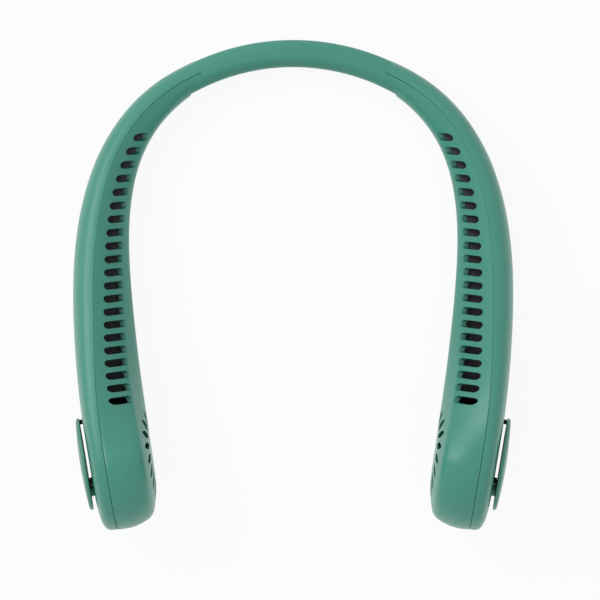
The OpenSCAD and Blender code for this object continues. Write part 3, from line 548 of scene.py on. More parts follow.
# Slots: upright stadiums cut nearly level through the slot facet, from near the ridge to the crease
slot_count = 21
slot_width = 3.4 * mm
slot_first_pitch = 6.35 * mm
slot_last_pitch = 5.6 * mm
slot_tilt = 7.2
slot_first_share = 0.617
slot_outer_shares = [0.3, 0.3, 0.3, 0.3, 0.3, 0.3, 0.27, 0.25, 0.245, 0.245]
slot_arc_share = 0.45
slot_depth = 2.2 * wall
slot_steps = slot_count - 1
slot_pitch_drop = (slot_first_pitch - slot_last_pitch) / (slot_steps - 1)
slot_round_steps = 14
end_halvings = 40


def slot_y(i):
    level = slot_first_share * band_radius - i * slot_first_pitch + slot_pitch_drop * i * (i - 1) / 2
    return level + shift.y


def facet_point(t, share):
    """A point of the slot facet, at a share of its run from the ridge to the crease."""
    ridge = smooth(ridge_shares, t)
    across = ridge + share * (smooth(crease_shares, t) - ridge) - 0.5
    up = 1 + share * (smooth(crease_rise_shares, t) - 1)
    return place(t, across * width_at(t), 0, up * height_at(t, True))


def slot_end(y, inner):
    """Where a level line over the facet meets the inner or the outer end of the slots."""
    def end_at(t):
        return facet_point(t, 1 if inner else smooth(slot_outer_shares, t))

    low, high = 0, runs
    for _ in range(end_halvings):
        half = (low + high) / 2
        if end_at(half).y > y:
            low = half
        else:
            high = half
    return end_at(low)


def slot_solid(i):
    y = slot_y(i)
    climb = math.tan(math.radians(slot_tilt)) * (slot_end(y, False).x - slot_end(y, True).x) / 2
    start = slot_end(y - climb, False)
    end = slot_end(y + climb, True)
    run = Vector((end.x - start.x, end.y - start.y))
    high = start.z - end.z
    arc = min(slot_width / 2, slot_arc_share * high)
    outline = []
    for level, first in ((high - arc, 0), (arc, 180)):
        for x, z in turns(first, first + 180, slot_round_steps):
            outline.append((slot_width / 2 * x, level + arc * z))
    where = moved(start.x, start.y, end.z) @ turned(math.degrees(math.atan2(run.y, run.x)), "Z")
    where = where @ moved(-slot_depth, 0, 0) @ turned(90, "Z") @ turned(90, "X")
    return prism(outline, where, slot_depth + run.length + wall)


# Intake grille: a ring of leaf-shaped holes in the flat inner side of the blower housing
leaf_count = 18
grille_radius = 20.8 * mm
leaf_length = 9.5 * mm
leaf_width = 3.2 * mm
leaf_swirl = 18
leaf_fullness = 0.75
leaf_phase = 84.5
leaf_points = 12
fan_width = arm_width * width_shares[runs]
swirl_along, swirl_across = turn_of(leaf_swirl)
half_leaf = leaf_length / 2
leaf_middle = math.sqrt(grille_radius**2 - (half_leaf * swirl_across) ** 2) - half_leaf * swirl_along


def leaf_solid(i):
    outline = []
    for side in (1, -1):
        for k in range(leaf_points):
            f = k / leaf_points if side > 0 else 1 - k / leaf_points
            swell = math.sin(math.pi * f) ** leaf_fullness if 0 < f < 1 else 0
            outline.append((leaf_length * (f - 0.5), side * leaf_width / 2 * swell))
    where = arm_frame(runs) @ turned(leaf_phase + 360 * i / leaf_count, "X")
    where = where @ moved(fan_width / 4, leaf_middle, 0) @ turned(-leaf_swirl, "X")
    return prism(outline, where @ turned(90, "Y") @ turned(90, "Z"), fan_width / 2)


def node_group(name, inputs, outputs):
    """An empty shared group with its sockets, and its two end nodes."""
    group = bpy.data.node_groups.new(name, "ShaderNodeTree")
    for side, sockets in (("INPUT", inputs), ("OUTPUT", outputs)):
        for socket, kind in sockets.items():
            group.interface.new_socket(socket, in_out=side, socket_type="NodeSocket" + kind)
    return group, group.nodes.new("NodeGroupInput"), group.nodes.new("NodeGroupOutput")


def scaled(tree, source, output, factor):
    """A colour made lighter or darker by a factor."""
    scale = add(tree, "VectorMath", operation="SCALE")
    wire(tree, source, output, scale, 0)
    wire(tree, factor, 0, scale, "Scale")
    return scale


# Moulded plastic: a shared surface of slow colour drift, faint handling marks and fine grain
surface, given, result = node_group(
    "moulded_surface",
    {
        "Vector": "Vector", "Colour": "Color", "Drift": "Float",
        "Roughness": "Float", "Marks": "Float", "Grain Scale": "Float",
    },
    {"Colour": "Color", "Roughness": "Float", "Height": "Float"},
)
slow = add(surface, "TexNoise", {"Scale": 35, "Detail": 2})
marks = add(surface, "TexNoise", {"Scale": 420, "Detail": 4, "Roughness": 0.65})
grain = add(surface, "TexNoise", {"Detail": 2})
for noise in (slow, marks, grain):
    wire(surface, given, "Vector", noise, "Vector")
wire(surface, given, "Grain Scale", grain, "Scale")


def swung(pattern, spread, base=None):
    """A value that swings with a pattern, by one of the inputs about another, or about 1."""
    centred = add(surface, "Math", {1: 0.5}, operation="SUBTRACT")
    wire(surface, pattern, 0, centred, 0)
    swing = add(surface, "Math", {2: 1}, operation="MULTIPLY_ADD")
    wire(surface, centred, 0, swing, 0)
    wire(surface, given, spread, swing, 1)
    if base:
        wire(surface, given, base, swing, 2)
    return swing


wire(surface, scaled(surface, given, "Colour", swung(slow, "Drift")), 0, result, "Colour")
wire(surface, swung(marks, "Marks", "Roughness"), 0, result, "Roughness")
wire(surface, grain, 0, result, "Height")


def paint(code):
    """A written colour such as 5ba08d as linear light."""
    parts = [int(code[k:k + 2], 16) / 255 for k in (0, 2, 4)]
    return tuple(c / 12.92 if c <= 0.04045 else ((c + 0.055) / 1.055) ** 2.4 for c in parts) + (1,)


def ranged(tree, source, output, values):
    """A pattern stretched from one range of values to another."""
    span = add(tree, "MapRange", values)
    wire(tree, source, output, span, 0)
    return span


# Painted shade: close corners are darkened in the colour by an occlusion mask, as less light reaches the
# inside of slots, leaves and seams
corner_shade, corner_in, corner_out = node_group(
    "corner_shade", {"Colour": "Color", "Distance": "Float", "Dark": "Float"}, {"Colour": "Color"}
)
reached = add(corner_shade, "AmbientOcclusion", samples=8)
wire(corner_shade, corner_in, "Distance", reached, "Distance")
shade_range = ranged(corner_shade, reached, "AO", {"From Min": 0.5, "From Max": 0.98})
wire(corner_shade, corner_in, "Dark", shade_range, "To Min")
wire(corner_shade, scaled(corner_shade, corner_in, "Colour", shade_range), 0, corner_out, "Colour")

# Worn edges: another tone in patches along the edges, where assembly and handling rub them
worn_edge, worn_in, worn_out = node_group(
    "worn_edge", {"Vector": "Vector", "Radius": "Float"}, {"Worn": "Float"}
)
rounded = add(worn_edge, "Bevel", samples=4)
wire(worn_edge, worn_in, "Radius", rounded, "Radius")
agree = add(worn_edge, "VectorMath", operation="DOT_PRODUCT")
wire(worn_edge, rounded, "Normal", agree, 0)
wire(worn_edge, add(worn_edge, "NewGeometry"), "Normal", agree, 1)
edge = ranged(worn_edge, agree, "Value", {"From Min": 0.995, "From Max": 0.86})
patches = add(worn_edge, "TexNoise", {"Scale": 1400, "Detail": 3})
wire(worn_edge, worn_in, "Vector", patches, "Vector")
patch_range = ranged(worn_edge, patches, 0, {"From Min": 0.38, "From Max": 0.62})
worn_both = add(worn_edge, "Math", operation="MULTIPLY")
wire(worn_edge, edge, 0, worn_both, 0)
wire(worn_edge, patch_range, 0, worn_both, 1)
wire(worn_edge, worn_both, 0, worn_out, "Worn")


def rubbed_over(tree, source, output, mask, code):
    """A colour that goes over to another one under a mask; it comes out of output 2."""
    mix = add(tree, "Mix", {7: paint(code)}, data_type="RGBA")
    wire(tree, mask, 0, mix, 0)
    wire(tree, source, output, mix, 6)
    return mix


def plain_finish(name, fixed):
    """A new material, its nodes and its shader, with the values that are the same all over it."""
    finish = bpy.data.materials.new(name)
    finish.use_nodes = True
    shader = finish.node_tree.nodes["Principled BSDF"]
    for socket, value in fixed.items():
        shader.inputs[socket.replace("_", " ")].default_value = value
    return finish, finish.node_tree, shader


def bumped(tree, shader, source, output, strength, depth):
    """Lets a pattern raise the surface, by a depth in millimetres."""
    bump = add(tree, "Bump", {"Strength": strength, "Distance": depth * mm})
    wire(tree, source, output, bump, "Height")
    wire(tree, bump, "Normal", shader, "Normal")


def moulded(
    name, code, roughness, drift=0.06, marks=0.1, grain=2600, depth=0.01, shade=0, dark=0.4, worn=0,
    rubbed="8e9396", **fixed
):
    """A moulded plastic, rubber or plated metal. Depths and radii are in millimetres: of the grain,
    of the corners darkened with painted shade, and of the edges that are rubbed to another colour."""
    finish, tree, shader = plain_finish(name, fixed)
    plastic = add(tree, "Group", {
        "Colour": paint(code), "Drift": drift, "Roughness": roughness,
        "Marks": marks, "Grain Scale": grain,
    }, node_tree=surface)
    object_place = add(tree, "TexCoord")
    wire(tree, object_place, "Object", plastic, "Vector")
    coloured, output = plastic, "Colour"
    if shade:
        coloured = add(tree, "Group", {"Distance": shade * mm, "Dark": dark}, node_tree=corner_shade)
        wire(tree, plastic, output, coloured, "Colour")
    if worn:
        edges = add(tree, "Group", {"Radius": worn * mm}, node_tree=worn_edge)
        wire(tree, object_place, "Object", edges, "Vector")
        coloured, output = rubbed_over(tree, coloured, output, edges, rubbed), 2
    wire(tree, coloured, output, shader, "Base Color")
    wire(tree, plastic, "Roughness", shader, "Roughness")
    bumped(tree, shader, plastic, "Height", 1, depth)
    return finish


def finished(thing, finish, body, slot, *nodes):
    """Gives a new piece its finish, its body and the CAD nodes that it stands for."""
    thing.data.materials.clear()
    thing.data.materials.append(finish)
    for face in thing.data.polygons:
        face.material_index = 0
    if nodes:
        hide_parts(*nodes)
    if body:
        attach(thing, body)


satin = {"grain": 3200, "depth": 0.006}
satin_coat = {"Coat_Weight": 0.12, "Coat_Roughness": 0.2}
# Both greens darken their close corners with painted shade; the inner shells' copy has deeper painted
# shade, so the ledges of its slots read dark
arm_green = moulded("arm_green", "459a85", 0.38, shade=2.5, **satin, **satin_coat)
slot_green_deep_shade = moulded("slot_green_deep_shade", "429a85", 0.37, shade=4, dark=0.15, **satin, **satin_coat)
inner_right = arm_shell("inner_arm_right", -1)
cut_away(
    inner_right,
    [slot_solid(i) for i in range(slot_count)] + [leaf_solid(i) for i in range(leaf_count)],
)
smooth_off(inner_right)
inner_left = mirrored(inner_right, "inner_arm_left")
finished(inner_right, slot_green_deep_shade, "arm_right", "slot_shell", "inner_shell_right")
finished(inner_left, slot_green_deep_shade, "arm_left", "slot_shell", "inner_shell_left")


# Outer shells: windows let the wheel draw air from behind the cover plate, screws go in wells from
# outside, and the right arm has the openings of the controls. They are moulded as the inner ones.
hub_radius = 8.2 * mm
window_radius = 14.2 * mm
spoke_width = 2.4 * mm
spoke_count = 5
spoke_angle = 270
screw_well_radius = 1.75 * mm
screw_places = [(1.75, -0.3), (3.7, -0.5), (9, -0.862)]
well_depth = 5 * mm
well_steps = 24
fan_frame = arm_frame(runs) @ turned(90, "Y")
window_steps = 10
plate_radius = 21 * mm
plate_gap = 1.5 * mm
plate_frame = arm_frame(runs) @ turned(outer_lean, "Y")
plate_frame = plate_frame @ moved(-fan_width / 2 - plate_gap, 0, 0) @ turned(90, "Y")
post_radius = 2.2 * mm
post_play = 0.1 * mm
post_reach = plate_gap + 2.5 * wall
post_hole_steps = 32
post_ring_share = 0.81
post_angles = (44, 316)


def window_solid(i):
    outline = []
    for radius, order in ((window_radius, 1), (hub_radius, -1)):
        edge = math.degrees(math.asin(spoke_width / 2 / radius))
        arc = [(radius * x, radius * y) for x, y in turns(edge, 360 / spoke_count - edge, window_steps)]
        outline += arc[::order]
    where = fan_frame @ turned(spoke_angle + 360 * i / spoke_count, "Z") @ moved(0, 0, -fan_width)
    return prism(outline, where, fan_width)


def round_plate(angle):
    """Where a post of the cover plate stands: 0 is towards the arm's tip and 90 is up."""
    return plate_frame @ turned(90 + angle, "Z") @ moved(plate_radius * post_ring_share, 0, 0)


def post_hole(angle):
    return prism(round_outline(post_radius + post_play, post_hole_steps), round_plate(angle), post_reach)


def well_solid(spot_on_arm):
    t, level = spot_on_arm
    where = arm_frame(t) @ moved(-width_at(t) / 2, 0, level * height_at(t, False)) @ turned(90, "Y")
    outline = round_outline(screw_well_radius, well_steps)
    return prism(outline, where @ moved(0, 0, -well_depth), 2 * well_depth)


outer_right = arm_shell("outer_arm_right", 1)
cut_away(
    outer_right,
    [window_solid(i) for i in range(spoke_count)]
    + [well_solid(spot_on_arm) for spot_on_arm in screw_places]
    + [post_hole(angle) for angle in post_angles],
)
outer_left = mirrored(outer_right, "outer_arm_left")
smooth_off(outer_left)
finished(outer_left, arm_green, "arm_left", "arm_shell", "outer_shell_left")


# Openings of the controls on the right arm: a charging socket, a power button in a shallow round
# dish, and a small round light between them and the ridge. The main board behind them follows the
# cell along the arm.
cell_place = 5.6
cell_length = 50 * mm
board_length = 15 * mm
board_gap = 1.925 * mm
board_place = cell_place + (cell_length / 2 + board_length / 2 + board_gap) / arm_run
board_depth = 8.8 * mm
button_offset = -4.25 * mm
button_place = board_place + button_offset / arm_run
button_level = -7 * mm
button_radius = 4 * mm
button_play = 0.15 * mm
dish_radius = 6 * mm
dish_floor = 1 * mm
socket_offset = 5.525 * mm
socket_place = board_place + socket_offset / arm_run
socket_level = -6 * mm
socket_height = 8.94 * mm
socket_width = 3.2 * mm
socket_play = 0.2 * mm
light_level = 0
light_radius = 1.15 * mm
control_steps = 48
light_steps = 24
socket_round_steps = 12


def board_frame(t, v):
    """A place on the outer side by the board, with the way into the arm as its Z."""
    side = moved(-width_at(board_place) / 2, (t - board_place) * arm_run, v)
    return arm_frame(board_place) @ side @ turned(90, "Y")


def socket_outline(grow):
    reach = socket_height / 2 - socket_width / 2
    outline = []
    for side, start in ((1, -90), (-1, 90)):
        for x, y in turns(start, start + 180, socket_round_steps):
            outline.append((side * reach + (socket_width / 2 + grow) * x, (socket_width / 2 + grow) * y))
    return outline


def opening(outline, where, floor=board_depth):
    """A cut from outside the shell down to a floor, counted from the skin by the board."""
    return prism(outline, where @ moved(0, 0, -board_depth), board_depth + floor)


button_frame = board_frame(button_place, button_level)
cut_away(outer_right, [opening(round_outline(dish_radius, control_steps), button_frame, dish_floor)])
cut_away(outer_right, [
    opening(round_outline(button_radius + button_play, control_steps), button_frame),
    opening(socket_outline(socket_play), board_frame(socket_place, socket_level)),
    opening(round_outline(light_radius, light_steps), board_frame(button_place, light_level)),
])
smooth_off(outer_right)
finished(outer_right, arm_green, "arm_right", "arm_shell", "outer_shell_right")


# Neck band: one sleeve of soft matt silicone rubber over a spring steel strip and a lead, moulded
# in one piece. It is modelled as two halves that meet in the middle.
band_reach_angle = 33.8
flat_sink = 0.35 * mm
band_steps = 68
band_round_steps = 18
mouth_gap = -0.22 * mm
beyond_reach_share = 1.2
bend_from = 3.5
bend_to = 22
band_level = 8.5 * mm


def band_point(angle, out, level):
    """A point of the band: its angle from the middle, outwards and up from its centre line."""
    x, y = turn_of(angle)
    return Vector(((band_radius + out) * y, (band_radius + out) * x + shift.y, band_level + level))


def band_outline():
    """The section of the sleeve, round at both ends and cut a little flat."""
    corner = band_thickness / 2
    lift = band_height / 2 + flat_sink - corner
    outline = []
    for side, start in ((1, 0), (-1, 180)):
        for x, y in turns(start, start + 180, band_round_steps):
            level = side * lift + corner * y
            outline.append((corner * x, min(max(level, -band_height / 2), band_height / 2)))
    return outline


def capped(bar):
    """Closes both ends of an open tube."""
    close_up(bar)
    bpy.ops.object.mode_set(mode="EDIT")
    bpy.ops.mesh.select_all(action="SELECT")
    bpy.ops.mesh.fill_holes(sides=0)
    bpy.ops.mesh.normals_make_consistent(inside=False)
    bpy.ops.object.mode_set(mode="OBJECT")
    return bar


def swept(name, outline, start, reach, steps):
    """A bar of one section, bent along the band from one angle to another, with closed ends."""
    count = len(outline)

    def spot_of(row, column):
        return band_point(start + (reach - start) * row / steps, *outline[column % count])

    return capped(wrapped_sheet(name, steps, count, spot_of))


def before_arm(t, u):
    point = place(t, u, -mouth_gap, 0)
    return Vector((point.x, point.y))


def both_halves(right, finish, slot, node):
    """Mirrors a piece of the band and gives both halves their finish."""
    for thing, side, hand in ((right, "right", 1), (mirrored(right, node + "_left"), "left", -1)):
        finished(thing, finish, None, slot, node)
        start = band_point(bend_from, 0, 0)
        end = band_point(bend_to, 0, 0)
        start.x *= hand
        end.x *= hand
        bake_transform(thing)


plug_play = 0.12 * mm
plug_from = -0.3
plug_to = 0.28
plug_steps = 8
half_columns = 14


def plug_spot(row, column):
    """The sleeve's plug inside the arm's mouth, which stops light passing the joint."""
    t = plug_from + (plug_to - plug_from) * row / plug_steps
    column %= 4 * half_columns
    top = column <= 2 * half_columns
    turn = column if top else 4 * half_columns - column
    hand = 1 if turn <= half_columns else -1
    f = turn / half_columns if hand > 0 else 2 - turn / half_columns
    s = f * side_length(t, top, hand)
    point = skin(t, top, s, hand) - (wall + plug_play) * outward(t, top, s, hand)
    return place(t, point.x, 0, point.y if top else -point.y)


strip_thickness = 0.8 * mm
strip_height = 5.5 * mm
strip_corner = 0.15 * mm
lead_radius = 0.8 * mm
lead_drop = 4.35 * mm
lead_round_steps = 20
channel_play = 0.2 * mm
channel_start = -2
channel_end = band_reach_angle + 4
mouth_steps = 12


def strip_outline(play):
    """The strip's section with its corners cut off, grown by a play on every side."""
    x, z, c = strip_thickness / 2 + play, strip_height / 2 + play, strip_corner
    return [
        (x, c - z), (x, z - c), (x - c, z), (c - x, z), (-x, z - c), (-x, c - z), (c - x, -z), (x - c, -z),
    ]


def lead_outline(play):
    return [(x, z - lead_drop) for x, z in round_outline(lead_radius + play, lead_round_steps)]


sleeve_right = swept("band_sleeve_right", band_outline(), 0, band_reach_angle, band_steps)
mouth_line = []
for k in range(mouth_steps + 1):
    t = mouth_start_share + mouth_slant_share * k / mouth_steps
    ridge = smooth(ridge_shares, t) - 0.5
    mouth_line.append(before_arm(t, (ridge + (0.5 - ridge) * k / mouth_steps) * width_at(t)))
arm_space = [
    before_arm(mouth_start_share, -band_thickness), *mouth_line, 2 * mouth_line[-1] - mouth_line[-2],
    before_arm(beyond_reach_share, band_thickness), before_arm(beyond_reach_share, -band_thickness),
]
cut_away(sleeve_right, [prism(arm_space, moved(0, 0, -band_height), 3 * band_height)])
plug = capped(wrapped_sheet("plug", plug_steps, 4 * half_columns, plug_spot))
combined(sleeve_right, [plug], "UNION")
cut_away(sleeve_right, [
    swept("strip_channel", strip_outline(channel_play), channel_start, channel_end, band_steps),
    swept("lead_channel", lead_outline(channel_play), channel_start, channel_end, band_steps),
])
smooth_off(sleeve_right, 40)
band_rubber = moulded("band_rubber", "489b87", 0.58, grain=5200, depth=0.02, marks=0.06)
both_halves(sleeve_right, band_rubber, "band_rubber", "band_sleeve")


# Core strip and lead of the band: a blued spring steel strip gives the band its set, and a lead
# with a soft jacket joins the electrics of the two arms below it. The sleeve is moulded over both.
strip_reach_angle = 36.3
lead_reach_angle = 34.8
rolled_stretch = (120, 120, 9000)


def shaded_metal(
    tree, shader, source, dark_code, light_code, light_rough, dark_rough, depth,
    strength=0.8, low=0.3, high=0.7
):
    """Tone, roughness and bump of a metal from one pattern, between a low and a high value of it."""
    tones = add(tree, "ValToRGB")
    for stop, level, code in zip(tones.color_ramp.elements, (low, high), (dark_code, light_code)):
        stop.position = level
        stop.color = paint(code)
    wire(tree, source, 0, tones, 0)
    wire(tree, tones, 0, shader, "Base Color")
    sheen = ranged(tree, source, 0, {
        "From Min": low, "From Max": high, "To Min": dark_rough, "To Max": light_rough,
    })
    wire(tree, sheen, 0, shader, "Roughness")
    bumped(tree, shader, source, 0, strength, depth)


strip_steel, tree, shader = plain_finish("strip_steel", {"Metallic": 1})
stretch = add(tree, "Mapping", {"Scale": rolled_stretch})
wire(tree, add(tree, "TexCoord"), "Object", stretch, "Vector")
rolling = add(tree, "TexNoise", {"Scale": 1, "Detail": 3})
wire(tree, stretch, "Vector", rolling, "Vector")
shaded_metal(tree, shader, rolling, "6d7277", "a2a7ab", 0.46, 0.24, 0.004, strength=0.5, low=0, high=1)
strip_right = swept("band_strip_right", strip_outline(0), 0, strip_reach_angle, band_steps)
smooth_off(strip_right, 30)
both_halves(strip_right, strip_steel, "strip_steel", "band_strip")

lead_black = moulded("lead_black", "1a1b1c", 0.55, marks=0.15, grain=4200)
band_lead_right = swept("band_lead_right", lead_outline(0), 0, lead_reach_angle, band_steps)
smooth_off(band_lead_right, 40)
both_halves(band_lead_right, lead_black, "lead_black", "band_lead")


# Cover plates: a round, slightly domed plate of the same plastic stands a little off the outer
# side of each blower housing and hides its windows. Two posts snap through the shell and hold it.
plate_thickness = 2.8 * mm
plate_rim = 1.7 * mm
plate_edge = 1.3 * mm
plate_back_edge = 0.35 * mm
post_snap = 1 * mm
post_chamfer = 0.5 * mm
post_flare = 0.7 * mm
flare_across = 0.35 * post_flare
flare_up = 0.3 * post_flare
post_steps = 40
plate_steps = 128
back_edge_steps = 6
front_edge_steps = 9
dome_steps = 16


def lathe(name, profile, steps, where):
    """A round piece: a profile of radius and height turned about its own Z."""
    def spot_of(row, column):
        radius, level = profile[row]
        x, y = turn_of(360 * (column % steps) / steps)
        return Vector((radius * x, radius * y, level))

    piece = wrapped_sheet(name, len(profile) - 1, steps, spot_of)
    piece.data.transform(where)
    close_up(piece)
    return piece


def round_edge(across, level, radius, first, last, steps):
    """A rounded edge of a profile: an arc about a point, between two angles."""
    return [(across + radius * x, level + radius * y) for x, y in turns(first, last, steps)]


back_centre = plate_radius - plate_back_edge
flat_end = plate_radius - plate_edge
plate_profile = [(0, 0), (plate_radius / 2, 0)]
plate_profile += round_edge(back_centre, -plate_back_edge, plate_back_edge, 90, 0, back_edge_steps)
plate_profile += round_edge(flat_end, plate_edge - plate_rim, plate_edge, 0, -90, front_edge_steps)
bulge = plate_thickness - plate_rim
dome = (flat_end**2 + bulge**2) / (2 * bulge)
for k in range(1, dome_steps + 1):
    radius = flat_end * (1 - k / dome_steps)
    plate_profile.append((radius, dome - plate_thickness - math.sqrt(dome**2 - radius**2)))
plate_right = lathe("cover_plate_right", plate_profile, plate_steps, plate_frame)
post_end = plate_gap + wall + post_snap
post_profile = [
    (0, -plate_rim / 2), (post_radius + post_flare, -plate_rim / 2), (post_radius + post_flare, 0),
    (post_radius + flare_across, flare_up), (post_radius, post_flare),
    (post_radius, post_end - post_chamfer), (post_radius - post_chamfer / 2, post_end), (0, post_end),
]
posts = [lathe("post", post_profile, post_steps, round_plate(angle)) for angle in post_angles]
combined(plate_right, posts, "UNION")
smooth_off(plate_right, 36)
plate_left = mirrored(plate_right, "cover_plate_left")
# The plates' green darkens its close corners a little with painted shade, round the posts and behind the
# plate
cover_green = moulded("cover_green", "4c9580", 0.38, shade=1.2, dark=0.6, **satin)
finished(plate_right, cover_green, "arm_right", "cover_green", "cover_plate_right")
finished(plate_left, cover_green, "arm_left", "cover_green", "cover_plate_left")


# Power button: a round cap with a shallow finger dish, in the arm's colour. Its flange behind the
# shell keeps it in, and it presses the white stem of the switch on the circuit board.
button_front = 0.3 * mm
button_back = 3.3 * mm
button_flange = 0.8 * mm
button_flange_radius = 4.7 * mm
button_edge = 0.5 * mm
button_dip = 0.25 * mm
dip_steps = 7
button_edge_steps = 6
flange_chamfer = 0.1 * mm
cap_steps = 72
edge_centre = button_radius - button_edge
button_profile = [(0, button_front + button_dip)]
for k in range(1, dip_steps + 1):
    f = k / dip_steps
    dip = button_dip * (1 + math.cos(math.pi * f)) / 2
    button_profile.append((edge_centre * f, button_front + dip))
button_profile += round_edge(
    edge_centre, button_front + button_edge, button_edge, -90, 0, button_edge_steps
)[1:]
button_profile += [
    (button_radius, button_back), (button_flange_radius - flange_chamfer, button_back),
    (button_flange_radius, button_back + flange_chamfer),
    (button_flange_radius, button_back + button_flange), (0, button_back + button_flange),
]
power_cap = lathe("power_button_cap", button_profile, cap_steps, button_frame)
smooth_off(power_cap, 36)
button_green = moulded("button_green", "459b86", 0.4, **satin)
finished(power_cap, button_green, "button", "button_green", "power_button")


# Cover pads: small black discs behind each cover plate. Their black is painted shadow: it stands in
# for the shade deep in the narrow gap between the plate and the shell
def dressed(finish, *names):
    """Gives CAD pieces their finish; their meshes stay as they are."""
    for name in names:
        for slot in frame["nodes"][name].material_slots:
            slot.material = finish


def both(name):
    return name + "_left", name + "_right"


dressed(moulded("pad_black", "0c0d0d", 0.85, drift=0.3, grain=1500, depth=0.06), *both("cover_pads"))


# Air duct: the scroll wall round the wheel and the floor that carries the air along under the
# slots, moulded in black plastic and held between the two shells
duct_black = moulded(
    "duct_black", "3d3a41", 0.55, drift=0.2, grain=2400, depth=0.015, worn=0.2, rubbed="2a2d2e"
)
dressed(duct_black, *both("scroll"), *both("duct_floor"))


# Wheels: a dark grey centrifugal wheel of glass-filled plastic with many curved blades, pressed
# onto the motor's rotor, with rubbed blade edges
wheel_black = moulded(
    "wheel_black", "202528", 0.4, drift=0.12, marks=0.16, grain=2100, depth=0.012,
    worn=0.22, rubbed="5a6165"
)
dressed(wheel_black, *both("impeller"))


# Rotor can, shaft and bearing: turned on a lathe, so their tool marks run round the axle. The
# bearing is sintered bronze, soaked in oil. The left arm mirrors the right one's coordinates.
about_axle, axle_in, axle_out = node_group(
    "about_axle", {"Vector": "Vector"}, {"Along": "Float", "Radius": "Float", "Face": "Vector"}
)
axle_split = add(about_axle, "SeparateXYZ")
wire(about_axle, axle_in, "Vector", axle_split, 0)
one_side = add(about_axle, "Math", operation="ABSOLUTE")
wire(about_axle, axle_split, "X", one_side, 0)
rebuilt = add(about_axle, "CombineXYZ")
wire(about_axle, one_side, 0, rebuilt, "X")
for axis in ("Y", "Z"):
    wire(about_axle, axle_split, axis, rebuilt, axis)
at_axle = add(
    about_axle, "Mapping",
    {"Location": tuple(axle), "Rotation": (0, 0, math.radians(270 - heading_at(runs)))},
    vector_type="TEXTURE",
)
wire(about_axle, rebuilt, 0, at_axle, "Vector")
local_split = add(about_axle, "SeparateXYZ")
wire(about_axle, at_axle, 0, local_split, 0)
wire(about_axle, local_split, "X", axle_out, "Along")
face_place = add(about_axle, "CombineXYZ")
for axis, face_axis in (("Y", "X"), ("Z", "Y")):
    wire(about_axle, local_split, axis, face_place, face_axis)
wire(about_axle, face_place, 0, axle_out, "Face")
from_axle = add(about_axle, "VectorMath", operation="LENGTH")
wire(about_axle, face_place, 0, from_axle, 0)
wire(about_axle, from_axle, "Value", axle_out, "Radius")


def metal_base(name, **fixed):
    """A bare metal with its place about the axle."""
    finish, tree, shader = plain_finish(name, {"Metallic": 1, **fixed})
    where = add(tree, "Group", node_tree=about_axle)
    wire(tree, add(tree, "TexCoord"), "Object", where, "Vector")
    return finish, tree, shader, where


def turned_metal(name, dark_code, light_code, rings, light_rough, dark_rough, depth, **fixed):
    """A metal with fine rings round its axle, so many a millimetre."""
    finish, tree, shader, where = metal_base(name, **fixed)
    run = add(tree, "Math", operation="ADD")
    wire(tree, where, "Along", run, 0)
    wire(tree, where, "Radius", run, 1)
    tool_marks = add(tree, "TexNoise", {"Scale": rings / mm, "Detail": 2}, noise_dimensions="1D")
    wire(tree, run, 0, tool_marks, "W")
    shaded_metal(tree, shader, tool_marks, dark_code, light_code, light_rough, dark_rough, depth)
    return finish


dressed(turned_metal("can_steel", "8f9497", "b6babd", 5, 0.2, 0.36, 0.006), *both("rotor_can"))
dressed(turned_metal("shaft_steel", "a9adb0", "cfd2d4", 12, 0.12, 0.24, 0.002), *both("motor_shaft"))
bronze, tree, shader, where = metal_base("bearing_bronze")
pores = add(tree, "TexVoronoi", {"Scale": 3200, "Randomness": 1})
wire(tree, where, "Face", pores, "Vector")
shaded_metal(tree, shader, pores, "5e4620", "b8944e", 0.3, 0.55, 0.012)
dressed(bronze, *both("bearing"))


# Magnet ring: a bonded ferrite ring, dull and slightly grainy, pressed in a mould and glued into
# the rotor can
dressed(
    moulded("magnet_grey", "2c2f32", 0.5, drift=0.25, grain=5200, depth=0.02, worn=0.2, Metallic=0.35),
    *both("magnet_ring"),
)


# Motor mounts and band clamps: black moulded nylon. The mount is pegged to the outer shell and
# carries the motor, and the clamp holds the end of the band's strip in the arm.
mount_black = moulded(
    "mount_black", "15181a", 0.5, drift=0.15, grain=2000, depth=0.015, worn=0.2, rubbed="4a4f52"
)
dressed(mount_black, *both("motor_mount"), *both("band_anchor"))


# Stators: nine-toothed sheets of silicon steel, stacked and varnished, so thin lines run across
# their edges; each tooth carries a coil of enamelled copper wire
def striped_metal(name, along, pitch, dark_code, light_code, light_rough, dark_rough, depth, **fixed):
    """A metal with even stripes, so many millimetres apart, along the axle or away from it."""
    finish, tree, shader, where = metal_base(name, **fixed)
    phase = add(tree, "Math", {1: 2 * math.pi / (pitch * mm)}, operation="MULTIPLY")
    wire(tree, where, along, phase, 0)
    wave = add(tree, "Math", operation="SINE")
    wire(tree, phase, 0, wave, 0)
    height = ranged(tree, wave, 0, {"From Min": -1, "From Max": 1})
    shaded_metal(tree, shader, height, dark_code, light_code, light_rough, dark_rough, depth)
    return finish


dressed(
    striped_metal("core_steel", "Along", 0.35, "4e5356", "878c8f", 0.32, 0.5, 0.02), *both("stator")
)
dressed(
    striped_metal("coil_copper", "Radius", 0.3, "6e3413", "c4753a", 0.22, 0.4, 0.04, Coat_Weight=0.5),
    *both("windings"),
)


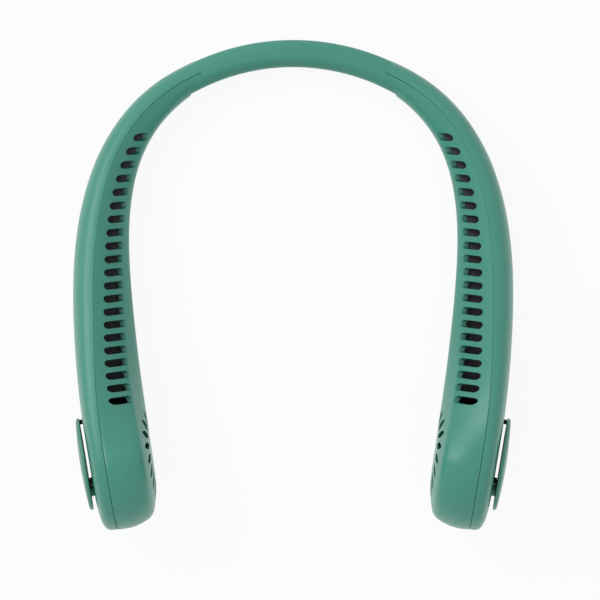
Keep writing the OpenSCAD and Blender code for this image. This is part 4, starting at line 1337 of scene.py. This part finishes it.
# Circuit boards: green solder mask over copper tracks, with tinned pads. The motor's board lies
# on its mount, and the main board stands behind the controls.
board_green, tree, shader, where = metal_base("board_green", Coat_Weight=0.3)
tracks = add(tree, "TexBrick", {
    "Color1": paint("174a2f"), "Color2": paint("1b5537"), "Mortar": paint("2e7a50"),
    "Scale": 260, "Mortar Size": 0.035, "Brick Width": 0.9, "Row Height": 0.32,
})
wire(tree, where, "Face", tracks, "Vector")
pads = add(tree, "TexVoronoi", {"Scale": 520, "Randomness": 0.6})
wire(tree, where, "Face", pads, "Vector")
pad_mask = ranged(tree, pads, "Distance", {"From Min": 0.2, "From Max": 0.16})
wire(tree, rubbed_over(tree, tracks, 0, pad_mask, "c8cbcc"), 2, shader, "Base Color")
wire(tree, pad_mask, 0, shader, "Metallic")
wire(tree, ranged(tree, pad_mask, 0, {"To Min": 0.42, "To Max": 0.22}), 0, shader, "Roughness")
bumped(tree, shader, pad_mask, 0, 0.6, 0.03)
dressed(board_green, *both("motor_board"), "main_board")


# Leads: stranded wire in a soft extruded jacket, red to the motor and black along the arm,
# soldered to the boards at both ends
dressed(moulded("lead_red", "8a1f1f", 0.5, marks=0.15, grain=4200), *both("motor_lead"))
dressed(lead_black, *both("arm_lead"))


# Cells: one round lithium cell in each arm, in a glossy blue sleeve that is shrunk onto it and
# held by the clips of the duct floor
cell_wrap = moulded(
    "cell_wrap", "2a6a9c", 0.34, drift=0.05, marks=0.25, grain=700, depth=0.05, worn=0.3, rubbed="8fb4cf",
    Coat_Weight=0.6, Coat_Roughness=0.1,
)
dressed(cell_wrap, *both("battery_cell"))


# Screws and charging socket: the shells' screws are zinc-plated steel with rolled threads, and
# the socket is a nickel-plated shell of stamped sheet, soldered to the board
screw_steel = moulded(
    "screw_steel", "93989c", 0.34, drift=0.3, marks=0.3, grain=1900, worn=0.15, rubbed="c9cccf",
    Metallic=1,
)
dressed(screw_steel, *both("shell_screws"))
port_steel = moulded(
    "port_steel", "b7bbbd", 0.26, drift=0.15, marks=0.3, grain=1400, depth=0.006,
    worn=0.12, rubbed="dfe1e2", Metallic=1,
)
dressed(port_steel, "usb_port")


# Switch and light: a black switch body with a white stem, soldered to the board behind the
# button, and a milky moulded light guide
dressed(moulded("switch_black", "1b1d1f", 0.45, worn=0.2, rubbed="54595c"), "tact_switch")
dressed(moulded("plunger_white", "e6e2d8", 0.42, depth=0.008), "switch_plunger")
dressed(moulded("lens_white", "e4f3ee", 0.34, Transmission_Weight=0.5, IOR=1.49), "light_lens")
